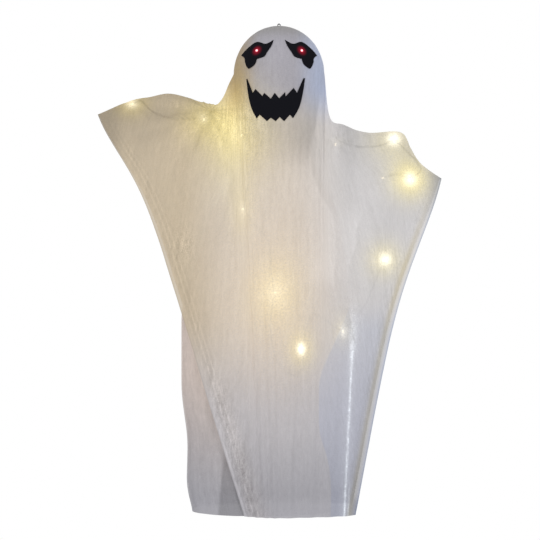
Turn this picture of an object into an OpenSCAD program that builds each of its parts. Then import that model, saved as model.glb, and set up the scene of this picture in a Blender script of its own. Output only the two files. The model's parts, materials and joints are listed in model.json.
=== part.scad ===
// Hanging ghost prop: a hollow moulded head on a hanging eye, wire arms on pivots,
// an inner robe, a gauze shroud draped over all of it, felt features and battery lights.
// Millimetres, +Z up, the face looks along -Y, the origin is the centre of the hanging eye.

/* [Hanging eye] */
// Diameter of the hole that the hook goes through
eye_hole_d = 4; // [3:0.5:8]
// Width of the rim round the hole
eye_rim = 2; // [1.5:0.1:4]
// Thickness of the eye from front to back
eye_thick = 3; // [2:0.5:5]
// Diameter of the eye's shank
shank_d = 4; // [3:0.5:6]
// Free height between the hole and the cloth
eye_clear = 1.5; // [0.5:0.5:4]
// Diameter of the washer under the crown
washer_d = 16; // [12:1:26]
// Thickness of the washer
washer_t = 1.2; // [0.8:0.2:2]
// Width of the nut across its flats
nut_flats = 7; // [6:0.5:10]
// Height of the nut
nut_h = 3.2; // [2:0.2:6]

/* [Head] */
// Widest radius of the head shell
head_r = 107; // [95:0.5:118]
// Height of the crown above the widest point
head_crown = 113.4; // [100:0.2:130]
// Depth of the jaw below the widest point, down to the flat base
head_jaw = 137; // [125:1:145]
// Wall of the two head shells
shell_wall = 2.2; // [1.6:0.1:3]
// Height of the locating tongue past the seam
tongue_h = 3; // [2:0.5:5]
// Room from the shell to the outside of the cloth
cloth_stand = 3.6; // [3.2:0.1:6]

/* [Cloth] */
// Thickness of the draped cloth with its crinkle
cloth_t = 0.8; // [0.6:0.1:1.4]
// Drop from the hanging eye to the hem
hem_drop = 1184; // [1050:1:1400]
// Distance of the left free edge from the middle at the hem
left_hem_x = 83; // [60:1:110]
// Distance of the right free edge from the middle at the hem
right_hem_x = 183; // [150:1:210]
// Half the width of the fold where the cloth lies over an arm
ridge_half = 9; // [8:0.5:14]
// Depth of the body from its middle to the front of the shroud
body_depth = 92; // [80:1:120]
// Length over which the cloth swells out below an arm
swell_length = 180; // [120:5:260]
// Depth of the folds at the hem
fold_depth = 8; // [4:1:20]
// Folds across half of the shroud
fold_count = 4; // [3:1:5]
// Depth of the robe from its middle to its front
robe_depth = 74; // [66:1:80]
// Room between the robe and the shroud
robe_room = 12; // [10:1:16]

/* [Arms] */
// Distance of a shoulder pivot from the rim of the plate
pivot_inset = 17; // [14:1:24]
// Drop from the head's base to the pivots
pivot_drop = 14.5; // [12:0.5:20]
// Length from pivot to elbow
upper_arm_l = 232; // [200:1:260]
// Length from elbow to wrist
fore_arm_l = 90; // [80:1:100]
// Length from wrist to the end of the wire
hand_l = 52; // [44:1:60]
// Diameter of the arm wire
wire_d = 3.5; // [2.5:0.5:4]
// Inner radius of the elbow bend
elbow_r = 14; // [8:1:24]
// Rise of the left upper arm
left_rise = 25; // [10:1:30]
// Rise of the right upper arm
right_rise = 1; // [-4:1:20]
// Bend at the left elbow
left_bend = 36; // [20:1:60]
// Bend at the right elbow
right_bend = 58; // [20:1:62]
// Bend at the left wrist, downwards
left_wrist = 12; // [-25:1:25]
// Bend at the right wrist, downwards
right_wrist = -20; // [-25:1:25]
// Diameter of the pivot pins
pin_d = 4; // [3:0.5:5]
// Diameter of the barrel on the end of an arm wire
barrel_d = 9; // [8:0.5:11]
// Length of the barrel
barrel_l = 8.6; // [6:0.2:10]
// Diameter of the soft cap on the end of an arm
cap_d = 9; // [7:0.5:11]

/* [Shoulder plate] */
// Radius of the plate under the head
plate_r = 77; // [70:1:84]
// Thickness of the plate
plate_t = 4; // [3:0.5:6]
// Thickness of one ear
ear_t = 3; // [2.5:0.5:4]

/* [Battery case] */
// Outer width of the case
case_w = 52; // [51:1:60]
// Wall of the case
case_wall = 2; // [1.6:0.2:3]
// Diameter of one cell
cell_d = 14.4; // [13.6:0.1:14.5]
// Length of one cell with its button
cell_l = 50.4; // [48:0.2:52]
// Height of the switch room above the cells
switch_room = 13; // [12:0.5:18]
// Thickness of the sliding cover
cover_t = 1.6; // [1.2:0.2:2.4]

/* [Face] */
// Thickness of the felt
felt_t = 1.4; // [1:0.2:2.5]
// Distance of each lit eye from the middle
eye_x = 53.5; // [46:0.5:60]
// Drop of the lit eyes from the hanging eye
eye_drop = 77.5; // [66:0.5:90]
// Drop of the middle of the mouth from the hanging eye
mouth_drop = 197; // [185:1:205]
// Sideways offset of the mouth
mouth_x = -9; // [-14:1:6]
// Diameter of the lamp in each eye
lamp_d = 5; // [4:0.5:6]

/* [Light string] */
// Diameter of the light wire
light_wire_d = 2; // [1.4:0.2:2.4]
// Diameter of one bulb
bulb_d = 4; // [3:0.5:5]
// Length of one bulb
bulb_l = 7; // [5:0.5:9]

/* [Hidden] */
$fn = 48;

// Small distances that keep pieces apart
fit = 0.05;
seat_gap = 0.3;
eps = 0.01;

// Heights that follow from the driving sizes
hem_z = -hem_drop;
apex_z = -(eye_hole_d / 2 + eye_clear);
face_r = head_r + cloth_stand;
face_crown = head_crown + cloth_stand;
mid_z = apex_z - face_crown;
base_z = mid_z - head_jaw;
plate_low = base_z - plate_t;
pivot_z = base_z - pivot_drop;
pivot_x = plate_r - pivot_inset;
jaw_curve = head_jaw + 8;

// A smooth curve through points, with a number of steps between neighbours
function curve_point(a, b, c, d, t) =
    0.5 * ((2 * b) + (c - a) * t + (2 * a - 5 * b + 4 * c - d) * t * t
           + (3 * b - a - 3 * c + d) * t * t * t);
function curve(points, steps) =
    let (n = len(points))
    [for (i = [0 : n - 2])
        let (a = points[max(i - 1, 0)], b = points[i], c = points[i + 1], d = points[min(i + 2, n - 1)])
            for (k = [0 : steps - (i == n - 2 ? 0 : 1)]) curve_point(a, b, c, d, k / steps)];

function unit(v) = v / max(norm(v), 0.000001);
function mixed(a, b, t) = a + (b - a) * t;
function soft_step(t) = let (c = min(max(t, 0), 1)) c * c * (3 - 2 * c);
function half_chord(r, x) = sqrt(max(0, r * r - x * x));
function heading(angle) = [cos(angle), sin(angle)];
function upright(angle) = [-sin(angle), cos(angle)];

// Head profile

// Radius of the head at a height above its widest point, for a surface set in or out
function head_radius(h, off) =
    h >= 0
        ? (head_r + off) * sqrt(max(0, 1 - pow(h / (head_crown + off), 2)))
        : (head_r + off) * sqrt(max(0, 1 - pow(-h / (jaw_curve + off), 6)));

// Half outline of the head, closed by a flat base
function head_outline(off, base_off) =
    concat([[0, head_crown + off]],
           [for (a = [84 : -6 : 0])
               let (h = (head_crown + off) * sin(a)) [head_radius(h, off), h]],
           [for (h = [-24 : -12 : -head_jaw + 6]) [head_radius(h, off), h]],
           [[head_radius(-head_jaw + base_off, off), -head_jaw + base_off], [0, -head_jaw + base_off]]);

module head_solid(off = 0, base_off = 0) {
    translate([0, 0, mid_z]) rotate_extrude($fn = 96) polygon(head_outline(off, base_off));
}

module front_half() {
    span = 2 * (head_r + head_crown + head_jaw);
    intersection() {
        children();
        translate([-span / 2, -span, mid_z - span / 2]) cube([span, span, span]);
    }
}

module rear_half() {
    span = 2 * (head_r + head_crown + head_jaw);
    intersection() {
        children();
        translate([-span / 2, 0, mid_z - span / 2]) cube([span, span, span]);
    }
}

// Hanging eye

crown_inner = mid_z + (head_crown - shell_wall) * sqrt(1 - pow(washer_d / 2 / (head_r - shell_wall), 2));
washer_top = crown_inner - 3 * fit;
nut_top = washer_top - washer_t;
shank_end = nut_top - nut_h - 1.5;

module hanger_eye() {
    color([0.05, 0.05, 0.05]) difference() {
        union() {
            rotate([90, 0, 0]) cylinder(r = eye_hole_d / 2 + eye_rim, h = eye_thick, center = true);
            translate([0, 0, shank_end]) cylinder(d = shank_d, h = -shank_end - eye_hole_d / 2 - eye_rim / 2);
        }
        rotate([90, 0, 0]) cylinder(d = eye_hole_d, h = 2 * shank_d + eye_thick, center = true);
    }
}

module hanger_washer() {
    color([0.7, 0.7, 0.72]) translate([0, 0, washer_top - washer_t]) difference() {
        cylinder(d = washer_d, h = washer_t);
        translate([0, 0, -eps]) cylinder(d = shank_d + 2 * fit, h = washer_t + 2 * eps);
    }
}

module hanger_nut() {
    color([0.7, 0.7, 0.72]) translate([0, 0, nut_top - nut_h]) difference() {
        cylinder(d = nut_flats / cos(30), h = nut_h, $fn = 6);
        translate([0, 0, -eps]) cylinder(d = shank_d + 2 * fit, h = nut_h + 2 * eps);
    }
}

// Head shells

lamp_z = -eye_drop;
grommet_wall = 2;
grommet_d = lamp_d + 2 * fit + 2 * grommet_wall;
screw_spread = 26;
boss_d = 8;
boss_h = 12;
screw_d = 3;
lead_hole_d = 8;
lead_y = 18;
case_drop = 4;

// Where the outside of the cloth lies in front of a point of the face
function cloth_front(x, z) =
    z > mid_z
        ? face_r * sqrt(max(0, 1 - pow(x / face_r, 2) - pow((z - mid_z) / face_crown, 2)))
        : half_chord(face_r, x);

// Along the lamps, the front of the shell lies this far from the middle
shell_front = head_r * sqrt(1 - pow(eye_x / head_r, 2) - pow((lamp_z - mid_z) / head_crown, 2));

module lamp_axis(d, from, to) {
    for (side = [-1, 1])
        translate([side * eye_x, -from, lamp_z]) rotate([90, 0, 0]) cylinder(d = d, h = to - from);
}

module base_bosses() {
    for (sx = [-1, 1], sy = [-1, 1])
        translate([sx * screw_spread, sy * screw_spread, base_z]) cylinder(d = boss_d, h = boss_h);
}

module base_holes(d, low, high) {
    for (sx = [-1, 1], sy = [-1, 1])
        translate([sx * screw_spread, sy * screw_spread, low]) cylinder(d = d, h = high - low);
}

module shell_body() {
    difference() {
        union() {
            difference() {
                head_solid();
                head_solid(-shell_wall, shell_wall);
            }
            base_bosses();
        }
        translate([0, 0, mid_z]) cylinder(d = shank_d + 2 * fit, h = head_crown + 1);
        base_holes(screw_d + 2 * fit, base_z - 1, base_z + boss_h + 1);
        translate([0, lead_y, base_z - 1]) cylinder(d = lead_hole_d, h = shell_wall + 2);
    }
}

// A tongue on the front shell that reaches past the seam inside the rear one
tongue_room = 0.2;
tongue_t = 1.4;
tongue_root = 4;

module tongue_ring(outer, from, to) {
    inner = -shell_wall - tongue_room - tongue_t;
    intersection() {
        difference() {
            head_solid(outer, shell_wall / 2);
            head_solid(inner, shell_wall / 2);
        }
        translate([-head_r, from, base_z + boss_h + tongue_root])
            cube([2 * head_r, to - from, head_jaw + head_crown]);
    }
}

module seam_tongue() {
    clear_crown = washer_d / 2 + 3;
    difference() {
        union() {
            tongue_ring(-shell_wall / 2, -tongue_root, -eps);
            tongue_ring(-shell_wall - tongue_room, -tongue_root / 2, tongue_h);
        }
        translate([-clear_crown, -2 * tongue_root, mid_z + head_crown / 2])
            cube([2 * clear_crown, 4 * tongue_root, head_crown]);
    }
}

module head_front_shell() {
    color([0.9, 0.89, 0.86]) union() {
        difference() {
            front_half() shell_body();
            lamp_axis(grommet_d + 2 * fit, shell_front / 2, face_r);
        }
        seam_tongue();
    }
}

module head_rear_shell() {
    color([0.9, 0.89, 0.86]) rear_half() shell_body();
}

// Felt features on the outside of the cloth

function cloth_band_outline(off) =
    concat([for (a = [88 : -4 : 0]) [(face_r + off) * cos(a), (face_crown + off) * sin(a)]],
           [[face_r + off, -head_jaw]]);

module felt_band() {
    inner = cloth_band_outline(seat_gap);
    outer = cloth_band_outline(seat_gap + felt_t);
    front_half() translate([0, 0, mid_z]) rotate_extrude($fn = 96)
        polygon(concat(outer, [for (i = [len(inner) - 1 : -1 : 0]) inner[i]]));
}

// Outlines of the felt are in percent of the head's radius.
// The right eye about its lamp: brow from the inner tip to the outer tip,
// hanging lobe up to the notch, and the under edge back to the inner tip
face_unit = head_r / 100;
eye_brow = [[-37.5, 23.6], [-19.5, 14.5], [0, 21.5], [20, 9.3], [35.3, -5.2]];
eye_lobe = [[35.3, -5.2], [27.6, -14], [26.5, -24], [22, -35.5], [16.4, -39.6], [4, -31.5], [-0.5, -19.6]];
eye_under = [[-0.5, -19.6], [-16, -16], [-22.5, -6.5], [-32.7, 9.3], [-37.5, 23.6]];
eye_outline = concat(curve(eye_brow, 4), curve(eye_lobe, 3), curve(eye_under, 3));

// The mouth about its middle: the upper edge, the right side, the lower edge, the left side
mouth_top = [[-62.9, 50.6], [-50.3, 17.5], [-44.3, 25.4], [-29, 9], [-24.8, 15.6], [-10.5, 2.3],
             [-1.7, 14.9], [8, 3], [21.2, 16.5], [22, 7.2], [40.2, 26.5], [47.5, 15.9], [62, 49.4]];
mouth_right = [[65.4, 49.9], [60.7, 16], [52.1, -16.8], [38.5, -40.2]];
mouth_low = [[31.7, -32.9], [19, -47.5], [8.9, -38.2], [0.5, -47.5], [-10.5, -39.7], [-18.9, -47],
             [-35, -32]];
mouth_left = [[-41.9, -40], [-53.7, -15.3], [-60.7, 14.4], [-64.9, 48.9]];
mouth_outline = concat(mouth_top, curve(mouth_right, 3), mouth_low, curve(mouth_left, 3));

module face_cut(x, z, outline, flip = 1) {
    translate([x, 0, z]) rotate([90, 0, 0]) linear_extrude(2 * face_r)
        polygon([for (p = outline) face_unit * [flip * p.x, p.y]]);
}

module eye_patch(side) {
    color([0.06, 0.06, 0.07]) difference() {
        intersection() {
            felt_band();
            face_cut(side * eye_x, lamp_z, eye_outline, side);
        }
        lamp_axis(lamp_d + 2 * fit, shell_front / 2, 2 * face_r);
    }
}

module mouth_patch() {
    color([0.06, 0.06, 0.07]) intersection() {
        felt_band();
        face_cut(mouth_x, -mouth_drop, mouth_outline);
    }
}

// Lamps in the eyes, their grommets and leads

lamp_back = shell_front - 6;
lamp_proud = 2.6;
lamp_front = cloth_front(eye_x, lamp_z) + seat_gap + felt_t + lamp_proud - lamp_d / 2;
lamp_flange = 1;

module eye_lamp(side) {
    color([1, 0.12, 0.16]) translate([side * eye_x, 0, lamp_z]) rotate([90, 0, 0]) {
        translate([0, 0, lamp_back]) cylinder(d = lamp_d, h = lamp_front - lamp_back);
        translate([0, 0, lamp_front]) sphere(d = lamp_d);
        translate([0, 0, lamp_back - lamp_flange]) cylinder(d = lamp_d + 1.2, h = lamp_flange);
    }
}

module lamp_grommets() {
    color([0.1, 0.1, 0.1]) intersection() {
        difference() {
            lamp_axis(grommet_d, lamp_back, face_r);
            lamp_axis(lamp_d + 2 * fit, lamp_back - 1, face_r + 1);
        }
        head_solid();
    }
}

// A round tube along a route, one ring at each point, with a chosen side direction
function tube_points(route, r, sides, side_axis) =
    [for (i = [0 : len(route) - 1])
        let (t = unit(route[min(i + 1, len(route) - 1)] - route[max(i - 1, 0)]),
             u = unit(cross(t, side_axis)),
             v = cross(u, t))
            for (k = [0 : sides - 1]) route[i] + r * (u * cos(360 * k / sides) + v * sin(360 * k / sides))];
function tube_faces(rings, sides) =
    concat([for (i = [0 : rings - 2], k = [0 : sides - 1])
                let (a = i * sides + k, b = i * sides + (k + 1) % sides) [a, b, b + sides]],
           [for (i = [0 : rings - 2], k = [0 : sides - 1])
                let (a = i * sides + k, b = i * sides + (k + 1) % sides) [a, b + sides, a + sides]],
           [for (k = [1 : sides - 2]) [0, k + 1, k]],
           [for (k = [1 : sides - 2]) let (e = (rings - 1) * sides) [e, e + k, e + k + 1]]);

module tube(route, d, side_axis = [0, 1, 0]) {
    sides = 8;
    polyhedron(tube_points(route, d / 2, sides, side_axis), tube_faces(len(route), sides));
}

lead_end = base_z - plate_t - case_drop - case_wall - 1;
eye_lead_route = [[eye_x, -lamp_back + lamp_flange + seat_gap, lamp_z],
                  [0.93 * eye_x, -0.82 * lamp_back, lamp_z - light_wire_d],
                  [0.81 * eye_x, -0.38 * lamp_back, mid_z - 0.07 * head_jaw],
                  [0.56 * eye_x, -0.05 * lamp_back, mid_z - 0.43 * head_jaw],
                  [0.22 * eye_x, 0.67 * lead_y, mid_z - 0.73 * head_jaw],
                  [light_wire_d, lead_y, base_z + boss_h],
                  [light_wire_d, lead_y, lead_end]];

module eye_leads() {
    color([0.15, 0.15, 0.15]) for (side = [0, 1])
        mirror([side, 0, 0]) tube(eye_lead_route, light_wire_d, [1, 0, 0]);
}

// Shoulder plate with its ears, and what fastens it

ear_r = barrel_d / 2 + 1.5;
ear_in = barrel_l / 2 + 0.2;
slot_half = ear_in + ear_t + 1;
bracket_w = 40;
bracket_t = 3;
bracket_y = 9;
case_front = bracket_y + bracket_t;
case_top = plate_low - case_drop;
case_screw_z = case_top - switch_room / 2;
case_screw_x = 14;
case_screw_d = 2.5;

module plate_ears(side) {
    for (face = [-1, 1])
        translate([side * pivot_x, face * (ear_in + ear_t / 2), 0]) rotate([90, 0, 0]) {
            translate([0, pivot_z, 0]) cylinder(r = ear_r, h = ear_t, center = true);
            translate([-ear_r, pivot_z, -ear_t / 2]) cube([2 * ear_r, base_z - pivot_z - plate_t / 2, ear_t]);
        }
}

module shoulder_plate() {
    notch = plate_r - pivot_x + ear_r;
    rib_t = 2.5;
    color([0.88, 0.87, 0.84]) difference() {
        union() {
            difference() {
                translate([0, 0, plate_low]) cylinder(r = plate_r, h = plate_t, $fn = 96);
                for (side = [-1, 1])
                    translate([side * (plate_r + pivot_x + ear_r) / 2, 0, base_z - plate_t / 2])
                        cube([notch - 2 * ear_r + 2 * eps, 2 * (slot_half - ear_t), 2 * plate_t],
                             center = true);
            }
            for (side = [-1, 1]) plate_ears(side);
            translate([-bracket_w / 2, bracket_y, case_top - switch_room])
                cube([bracket_w, bracket_t, plate_low - case_top + switch_room + 1]);
            for (side = [-1, 1])
                translate([side * bracket_w / 2 - rib_t / 2, -plate_r / 2, plate_low - 4])
                    cube([rib_t, plate_r / 2 + bracket_y + eps, 5]);
        }
        base_holes(screw_d + 2 * fit, plate_low - 1, base_z + 1);
        translate([0, lead_y, plate_low - 1]) cylinder(d = lead_hole_d, h = plate_t + 2);
        for (side = [-1, 1]) {
            translate([side * pivot_x, 0, pivot_z]) rotate([90, 0, 0])
                cylinder(d = pin_d + 2 * fit, h = 4 * slot_half, center = true);
            translate([side * case_screw_x, bracket_y - 1, case_screw_z]) rotate([-90, 0, 0])
                cylinder(d = case_screw_d + 2 * fit, h = bracket_t + 2);
        }
    }
}

module pan_screw(d, length, head_d, head_h) {
    translate([0, 0, -head_h]) cylinder(d = head_d, h = head_h);
    cylinder(d = d, h = length);
}

module plate_screws() {
    color([0.7, 0.7, 0.72]) for (sx = [-1, 1], sy = [-1, 1])
        translate([sx * screw_spread, sy * screw_spread, plate_low])
            pan_screw(screw_d, plate_t + boss_h - 2, 2 * screw_d, 2);
}

module case_screws() {
    color([0.7, 0.7, 0.72]) for (side = [-1, 1])
        translate([side * case_screw_x, bracket_y, case_screw_z]) rotate([-90, 0, 0])
            pan_screw(case_screw_d, bracket_t + case_wall + 2, 2 * case_screw_d, 1.6);
}

module pivot_pin(side) {
    reach = ear_in + ear_t + fit;
    rivet_h = 1.2;
    color([0.7, 0.7, 0.72]) translate([side * pivot_x, 0, pivot_z]) rotate([90, 0, 0]) {
        cylinder(d = pin_d, h = 2 * reach, center = true);
        for (face = [-1, 1])
            translate([0, 0, face * (reach + rivet_h / 2)])
                cylinder(d = pin_d + 3, h = rivet_h, center = true);
    }
}

// Wire arms: drawn along +X from the pivot, then raised and placed

elbow_mid_r = elbow_r + wire_d / 2;
function bend_cut(bend) = elbow_mid_r * tan(bend / 2);

// A point given by its distance along the arm, above it and in front of it
function on_arm(side, rise, bend, spot) =
    let (past = max(0, spot[0] - upper_arm_l), low = past > 0 ? rise - bend : rise,
         flat = [pivot_x, pivot_z] + min(spot[0], upper_arm_l) * heading(rise) + past * heading(low)
              + spot[1] * upright(low))
    [side * flat.x, -spot[2], flat.y];
function elbow_at(rise) = [pivot_x, pivot_z] + upper_arm_l * heading(rise);
function wrist_at(rise, bend) = elbow_at(rise) + fore_arm_l * heading(rise - bend);

module place_arm(side, rise) {
    translate([side * pivot_x, 0, pivot_z]) mirror([side < 0 ? 1 : 0, 0, 0]) rotate([90, 0, 0])
        rotate([0, 0, rise]) children();
}

module at_forearm(bend) {
    translate([upper_arm_l, 0, 0]) rotate([0, 0, -bend]) children();
}

module at_hand(bend, wrist) {
    at_forearm(bend) translate([fore_arm_l, 0, 0]) rotate([0, 0, -wrist]) children();
}

module rod_along_x(d, from, to) {
    translate([from, 0, 0]) rotate([0, 90, 0]) cylinder(d = d, h = to - from);
}

// The bend is drawn a little thicker than the straight wire, and the straight ends run into it
bend_extra = 0.3;
bend_lap = 1.5;

module arm_wire(side, rise, bend, wrist) {
    color([0.92, 0.92, 0.9]) place_arm(side, rise) difference() {
        union() {
            cylinder(d = barrel_d, h = barrel_l, center = true);
            rod_along_x(wire_d, barrel_d / 4 + pin_d / 4, upper_arm_l - bend_cut(bend) + bend_lap);
            translate([upper_arm_l - bend_cut(bend), -elbow_mid_r, 0]) rotate([0, 0, 90 - bend])
                rotate_extrude(angle = bend) translate([elbow_mid_r, 0]) circle(d = wire_d + bend_extra);
            at_forearm(bend) rod_along_x(wire_d, bend_cut(bend) - bend_lap, fore_arm_l);
            at_hand(bend, wrist) {
                sphere(d = wire_d + bend_extra);
                rod_along_x(wire_d, 0, hand_l);
            }
        }
        cylinder(d = pin_d + 2 * fit, h = 2 * barrel_l, center = true);
    }
}

module hand_cap(side, rise, bend, wrist) {
    socket = 14;
    color([0.85, 0.85, 0.83]) place_arm(side, rise) at_hand(bend, wrist) difference() {
        union() {
            rod_along_x(cap_d - 2, hand_l - socket, hand_l);
            translate([hand_l, 0, 0]) sphere(d = cap_d);
        }
        rod_along_x(wire_d + 2 * fit, hand_l - socket - 1, hand_l + fit);
    }
}

// Battery case behind the bracket, open to the rear, with a cover that slides down

cell_bay = cell_l + 3;
bay_w = 3 * cell_d + 1;
case_h = switch_room + cell_bay + 2 * case_wall;
case_low = case_top - case_h;
bay_back = case_front + case_wall + cell_d + 1;
cover_front = bay_back + 0.2;
groove = 1;
case_back = cover_front + cover_t + 0.2 + 1;
case_mid_y = (case_front + case_back) / 2;
bay_top = case_top - switch_room - case_wall;
bay_low = case_low + case_wall;
slider_w = 5;
slider_travel = 3;
switch_z = case_top - switch_room / 2;
exit_y = case_front + 8;
exit_z = case_top - 6;
exit_pitch = 5;

module battery_case() {
    groove_low = case_low - 1;
    side_hole = case_w - bay_w + 2;
    color([0.12, 0.12, 0.13]) difference() {
        translate([-case_w / 2, case_front, case_low]) cube([case_w, case_back - case_front, case_h]);
        translate([-bay_w / 2, case_front + case_wall, bay_low]) cube([bay_w, case_back, bay_top - bay_low]);
        translate([-bay_w / 2 - groove, cover_front - 0.2, groove_low])
            cube([bay_w + 2 * groove, cover_t + 0.4, bay_top - groove_low]);
        translate([-bay_w / 2, cover_front - 0.2, groove_low]) cube([bay_w, case_back, bay_top - groove_low]);
        translate([-bay_w / 2, case_front + case_wall, bay_top + case_wall])
            cube([bay_w, case_back - case_front - 2 * case_wall, switch_room - case_wall]);
        translate([-(slider_w + slider_travel + 1) / 2, case_mid_y, switch_z - 2.2])
            cube([slider_w + slider_travel + 1, case_back, 4.4]);
        for (side = [-1, 1]) {
            translate([side * case_screw_x, case_front - 1, case_screw_z]) rotate([-90, 0, 0])
                cylinder(d = case_screw_d + 2 * fit, h = case_wall + 2);
            translate([side * case_w / 2, exit_y, exit_z]) rotate([0, 90, 0])
                cylinder(d = light_wire_d + 1, h = side_hole, center = true);
        }
        translate([-case_w / 2, exit_y - exit_pitch, exit_z]) rotate([0, 90, 0])
            cylinder(d = light_wire_d + 1, h = side_hole, center = true);
        translate([0, lead_y, case_top - case_wall])
            cylinder(d = lead_hole_d, h = 4 * case_wall, center = true);
    }
}

module battery_cover() {
    grip_count = 5;
    grip_pitch = 4;
    color([0.12, 0.12, 0.13]) {
        translate([-bay_w / 2 - groove + 0.2, cover_front, case_low + fit])
            cube([bay_w + 2 * groove - 0.4, cover_t, bay_top - case_low - 2 * fit - 0.2]);
        for (i = [0 : grip_count - 1])
            translate([-bay_w / 4, cover_front + cover_t - eps, case_low + 6 + i * grip_pitch])
                cube([bay_w / 2, 0.8, 1.4]);
    }
}

contact_t = 0.6;
cell_low = bay_low + (bay_top - bay_low - cell_l) / 2;

module batteries() {
    button_h = 1;
    color([0.35, 0.37, 0.4]) for (i = [-1 : 1])
        translate([i * cell_d, case_front + case_wall + cell_d / 2 + seat_gap, cell_low + cell_l / 2])
            rotate([abs(i) * 180, 0, 0]) translate([0, 0, -cell_l / 2]) {
                cylinder(d = cell_d - 2 * fit, h = cell_l - button_h);
                translate([0, 0, cell_l - button_h]) cylinder(d = 5.5, h = button_h);
            }
}

module battery_contacts() {
    plate = cell_d - 4;
    rise = (bay_top - bay_low - cell_l) / 2 - seat_gap;
    color([0.8, 0.8, 0.78]) for (i = [-1 : 1], end = [0, 1])
        translate([i * cell_d, case_front + case_wall + cell_d / 2 + seat_gap, end == 0 ? bay_low : bay_top])
            mirror([0, 0, end]) {
                translate([-plate / 2, -plate / 2, 0]) cube([plate, plate, contact_t]);
                cylinder(d1 = plate * 0.7, d2 = 3, h = rise);
            }
}

module switch_body() {
    body_w = 14;
    body_t = case_back - case_wall - case_mid_y;
    color([0.6, 0.6, 0.62]) difference() {
        translate([-body_w / 2, case_front + case_wall + seat_gap, switch_z - 3])
            cube([body_w, case_mid_y - case_front - case_wall + body_t / 2, 6]);
        translate([-(slider_w + slider_travel + 1) / 2, case_mid_y, switch_z - 2.2])
            cube([slider_w + slider_travel + 1, case_back, 4.4]);
    }
}

module switch_slider() {
    color([0.85, 0.85, 0.83])
        translate([-(slider_w + slider_travel) / 2, case_mid_y + 0.2, switch_z - 2])
            cube([slider_w, case_back - case_mid_y + 2, 4]);
}

// Cloth sheets: a grid of points with a thickness, closed round its edge

function grid_normal(g, i, j) =
    let (n = len(g) - 1, m = len(g[0]) - 1)
    unit(cross(g[min(i + 1, n)][j] - g[max(i - 1, 0)][j], g[i][min(j + 1, m)] - g[i][max(j - 1, 0)]));

// The second layer lies cloth_t behind the first; on the seam it stays in the seam's plane
function back_layer(g, seam) =
    [for (i = [0 : len(g) - 1])
        [for (j = [0 : len(g[0]) - 1])
            let (n = grid_normal(g, i, j))
                g[i][j] - cloth_t * (seam && i == 0 ? unit([0, n.y, n.z]) : n)]];

function flat_list(g) = [for (row = g) for (p = row) p];

function sheet_faces(n, m) =
    let (top = n * m)
    concat([for (i = [0 : n - 2], j = [0 : m - 2]) [i * m + j, (i + 1) * m + j + 1, (i + 1) * m + j]],
           [for (i = [0 : n - 2], j = [0 : m - 2]) [i * m + j, i * m + j + 1, (i + 1) * m + j + 1]],
           [for (i = [0 : n - 2], j = [0 : m - 2])
               [top + i * m + j, top + (i + 1) * m + j, top + (i + 1) * m + j + 1]],
           [for (i = [0 : n - 2], j = [0 : m - 2])
               [top + i * m + j, top + (i + 1) * m + j + 1, top + i * m + j + 1]],
           [for (e = rim_edges(n, m)) [e[0], top + e[0], top + e[1]]],
           [for (e = rim_edges(n, m)) [e[0], top + e[1], e[1]]]);

function rim_edges(n, m) =
    concat([for (i = [0 : n - 2]) [(i + 1) * m, i * m]],
           [for (j = [0 : m - 2]) [(n - 1) * m + j + 1, (n - 1) * m + j]],
           [for (i = [0 : n - 2]) [i * m + m - 1, (i + 1) * m + m - 1]],
           [for (j = [0 : m - 2]) [j, j + 1]]);

module cloth_sheet(g, seam = false) {
    polyhedron(concat(flat_list(g), flat_list(back_layer(g, seam))), sheet_faces(len(g), len(g[0])));
}

// Robe: two panels hung from the rim of the plate, widening to their side edges.
// The edges are given by a share of the drop below the plate and a multiple of the plate's radius.
robe_left_edge = [[0, -0.91], [0.2, -2.08], [0.465, -3.08], [0.69, -3.08], [0.81, -2.88], [0.94, -2.92],
                  [1, -2.7]];
robe_right_edge = [[0, 0.91], [0.2, 1.82], [0.445, 2.31], [0.515, 1.97], [0.64, 1.25], [0.79, 1.25],
                   [0.84, 1.52], [0.92, 1.65], [1, 1.62]];
robe_columns = 17;
robe_rows = 17;
robe_slit = 9;
robe_edge = 2;
robe_flare = 0.22;
robe_rim = plate_r + seat_gap + cloth_t;
robe_top = base_z - eps;

robe_end = 78;
fold_rise = 5;

function robe_share(z) = (robe_top - z) / (robe_top - hem_z);
function robe_left(f) = plate_r * lookup(f, robe_left_edge);
function robe_right(f) = plate_r * lookup(f, robe_right_edge);
// Half depth of the robe: the round rim turns into half an ellipse on a slit between the side edges
function robe_front_at(x, z) =
    let (f = robe_share(z), g = soft_step(f / robe_flare), a = robe_left(f), b = robe_right(f),
         middle = g * (a + b) / 2, half = mixed(robe_rim, (b - a) / 2 + robe_edge, g))
    f < 0 || abs(x - middle) > half + robe_room
        ? 0
        : g * robe_slit + mixed(robe_rim, robe_depth, g) * sqrt(max(0, 1 - pow((x - middle) / half, 2)));
function robe_fold(u, f) = fold_rise * soft_step((f - 0.25) / 0.5) * sin(1080 * u);

function robe_point(i, j, face) =
    let (u = i / (robe_columns - 1), f = pow(j / (robe_rows - 1), 1.15), z = mixed(robe_top, hem_z, f),
         g = soft_step(f / robe_flare), angle = mixed(-robe_end, robe_end, u),
         x = mixed(robe_rim * sin(angle), mixed(robe_left(f), robe_right(f), u), g),
         y = robe_front_at(x, z) - g * max(0, robe_fold(u, f)) * sin(180 * u))
    [x, face * y, z];

module robe_panel(face) {
    g = [for (i = [0 : robe_columns - 1]) [for (j = [0 : robe_rows - 1]) robe_point(i, j, face)]];
    turned = [for (i = [robe_columns - 1 : -1 : 0]) g[i]];
    color([0.84, 0.8, 0.74]) cloth_sheet(face < 0 ? turned : g);
}

module robe_front() {
    difference() {
        robe_panel(-1);
        translate([robe_hole.x, -robe_rim, robe_hole.y]) rotate([90, 0, 0])
            cylinder(d = 4 * light_wire_d, h = robe_rim / 2, center = true, $fn = 12);
    }
}

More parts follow.
